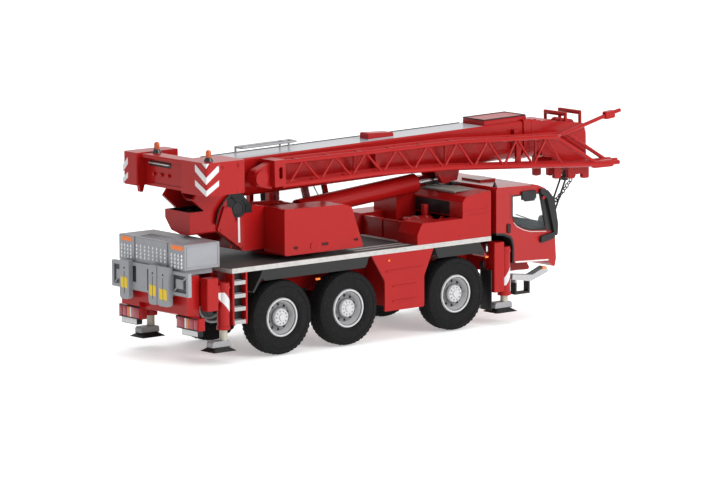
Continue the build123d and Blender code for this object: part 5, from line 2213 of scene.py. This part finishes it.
@dataclass
class BallastDress:
    """Ribs on the ballast's top, frames on its sides and painted shade in the rack's slots."""

    rear_x: float = BALLAST_REAR
    front_x: float = -26.9
    half: float = 21.0
    low: float = 37.1
    high: float = 46.9
    ribs: int = 13
    rib_pitch: float = 2.1
    rib_first: float = -15.6
    rib_length: float = 7.0
    rib_width: float = 0.5
    rib_slant: float = 1.6
    rib_height: float = 0.22
    frame_height: float = 0.22
    rack_slots: tuple[Brick, ...] = (
        Brick((-45.32, 8.4, 29.4), (-45.1, 10.4, 35.6), 0.05),
        Brick((-45.32, 0.4, 27.0), (-45.1, 1.2, 35.4), 0.05),
        Brick((-45.32, -1.5, 27.0), (-45.1, -1.2, 36.4), 0.05),
    )
    post_slots: tuple[float, ...] = (13.7, -4.4, -11.0)

    def slab(self, shop: PaintShop) -> None:
        """Raise the slanted ribs on the top and a frame on each side.

        Args:
            shop: where finishes come from.
        """
        bench = Bench()
        x0 = self.rear_x + 2.2
        x1 = x0 + self.rib_length
        for k in range(self.ribs):
            y = self.rib_first + k * self.rib_pitch
            bench.plate(
                [
                    at(x0, y, self.high),
                    at(x1, y + self.rib_slant, self.high),
                    at(x1, y + self.rib_slant + self.rib_width, self.high),
                    at(x0, y + self.rib_width, self.high),
                ],
                Vector((0, 0, self.rib_height * MM)),
            )
        for sign in (-1, 1):
            y0, y1 = span(sign, self.half, self.half + self.frame_height)
            for x0, x1, z0, z1 in (
                (self.rear_x + 0.9, self.front_x - 0.9, self.low + 0.7, self.low + 1.0),
                (self.rear_x + 0.9, self.front_x - 0.9, self.high - 1.0, self.high - 0.7),
                (self.rear_x + 0.9, self.rear_x + 1.2, self.low + 0.7, self.high - 0.7),
                (self.front_x - 1.2, self.front_x - 0.9, self.low + 0.7, self.high - 0.7),
            ):
                bench.block(at(x0, y0, z0), at(x1, y1, z1), 0.06 * MM)
        bench.piece("ballast_ribs", "carrier", shop.get(Paint.GREY), "grey_paint")

    def build(self, shop: PaintShop) -> None:
        """Dress the ballast and its rack.

        Args:
            shop: where finishes come from.
        """
        self.slab(shop)
        # Black sheets and discs in the rack's slots and holes are painted shade.
        bench = Bench()
        bench.bricks(self.rack_slots)
        for y in self.post_slots:
            bench.rod(at(-47.08, y, 34.6), at(-46.9, y, 34.6), 0.4 * MM, 16)
            bench.block(at(-47.06, y - 0.12, 24.6), at(-46.9, y + 0.12, 33.4))
        bench.piece("rack_dark_slots", "carrier", shop.get(Paint.BLACK), "black_trim")


@dataclass
class CarrierDress:
    """Side fittings of the carrier: marker lamps and mud flaps."""

    lamp_base: Brick = Brick((103.6, 25.15, 29.6), (105.1, 25.55, 33.6), 0.5, 3)
    lamp: Brick = Brick((103.95, 25.4, 30.4), (104.75, 25.75, 32.6), 0.3, 3)
    mud_flap: Brick = Brick((107.1, 18.2, 6.0), (107.6, 25.0, 22.4), 0.12)
    flap_hanger: Brick = Brick((107.2, 18.2, 22.0), (109.2, 20.0, 25.4), 0.15)

    def build(self, shop: PaintShop) -> None:
        """Dress the carrier's sides.

        Args:
            shop: where finishes come from.
        """
        black, lamps = Bench(), Bench()
        for side in Side:
            black.bricks((self.lamp_base, self.mud_flap, self.flap_hanger), side.value)
            lamps.bricks((self.lamp,), side.value)
        black.piece("carrier_dark_fittings", "carrier", shop.get(Paint.BLACK), "black_trim")
        lamps.piece("marker_lamps", "carrier", shop.get(Paint.WHITE_LENS), "grey_paint")


def main() -> None:
    """Dress the model and set the scene."""
    logging.basicConfig(level=logging.INFO, format="%(name)s: %(message)s")
    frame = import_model()
    Studio().build()
    shop = PaintShop()
    NodeFinishes().dress(shop, frame["nodes"])
    for number in range(1, len(WHEEL_X) + 1):
        for side in Side:
            wheel = Wheel(number, side)
            wheel.tread(shop)
            wheel.hardware(shop)
    CabGlazing().build(shop)
    Markings().build(shop)
    RearLamps().build(shop)
    HoodDress().build(shop)
    DriverCabDress().build(shop)
    SuperDress().build(shop)
    WinchRope().build(shop)
    BoomDress().build(shop)
    HookChain().build(shop)
    BallastDress().build(shop)
    CarrierDress().build(shop)


if __name__ == "__main__":
    main()
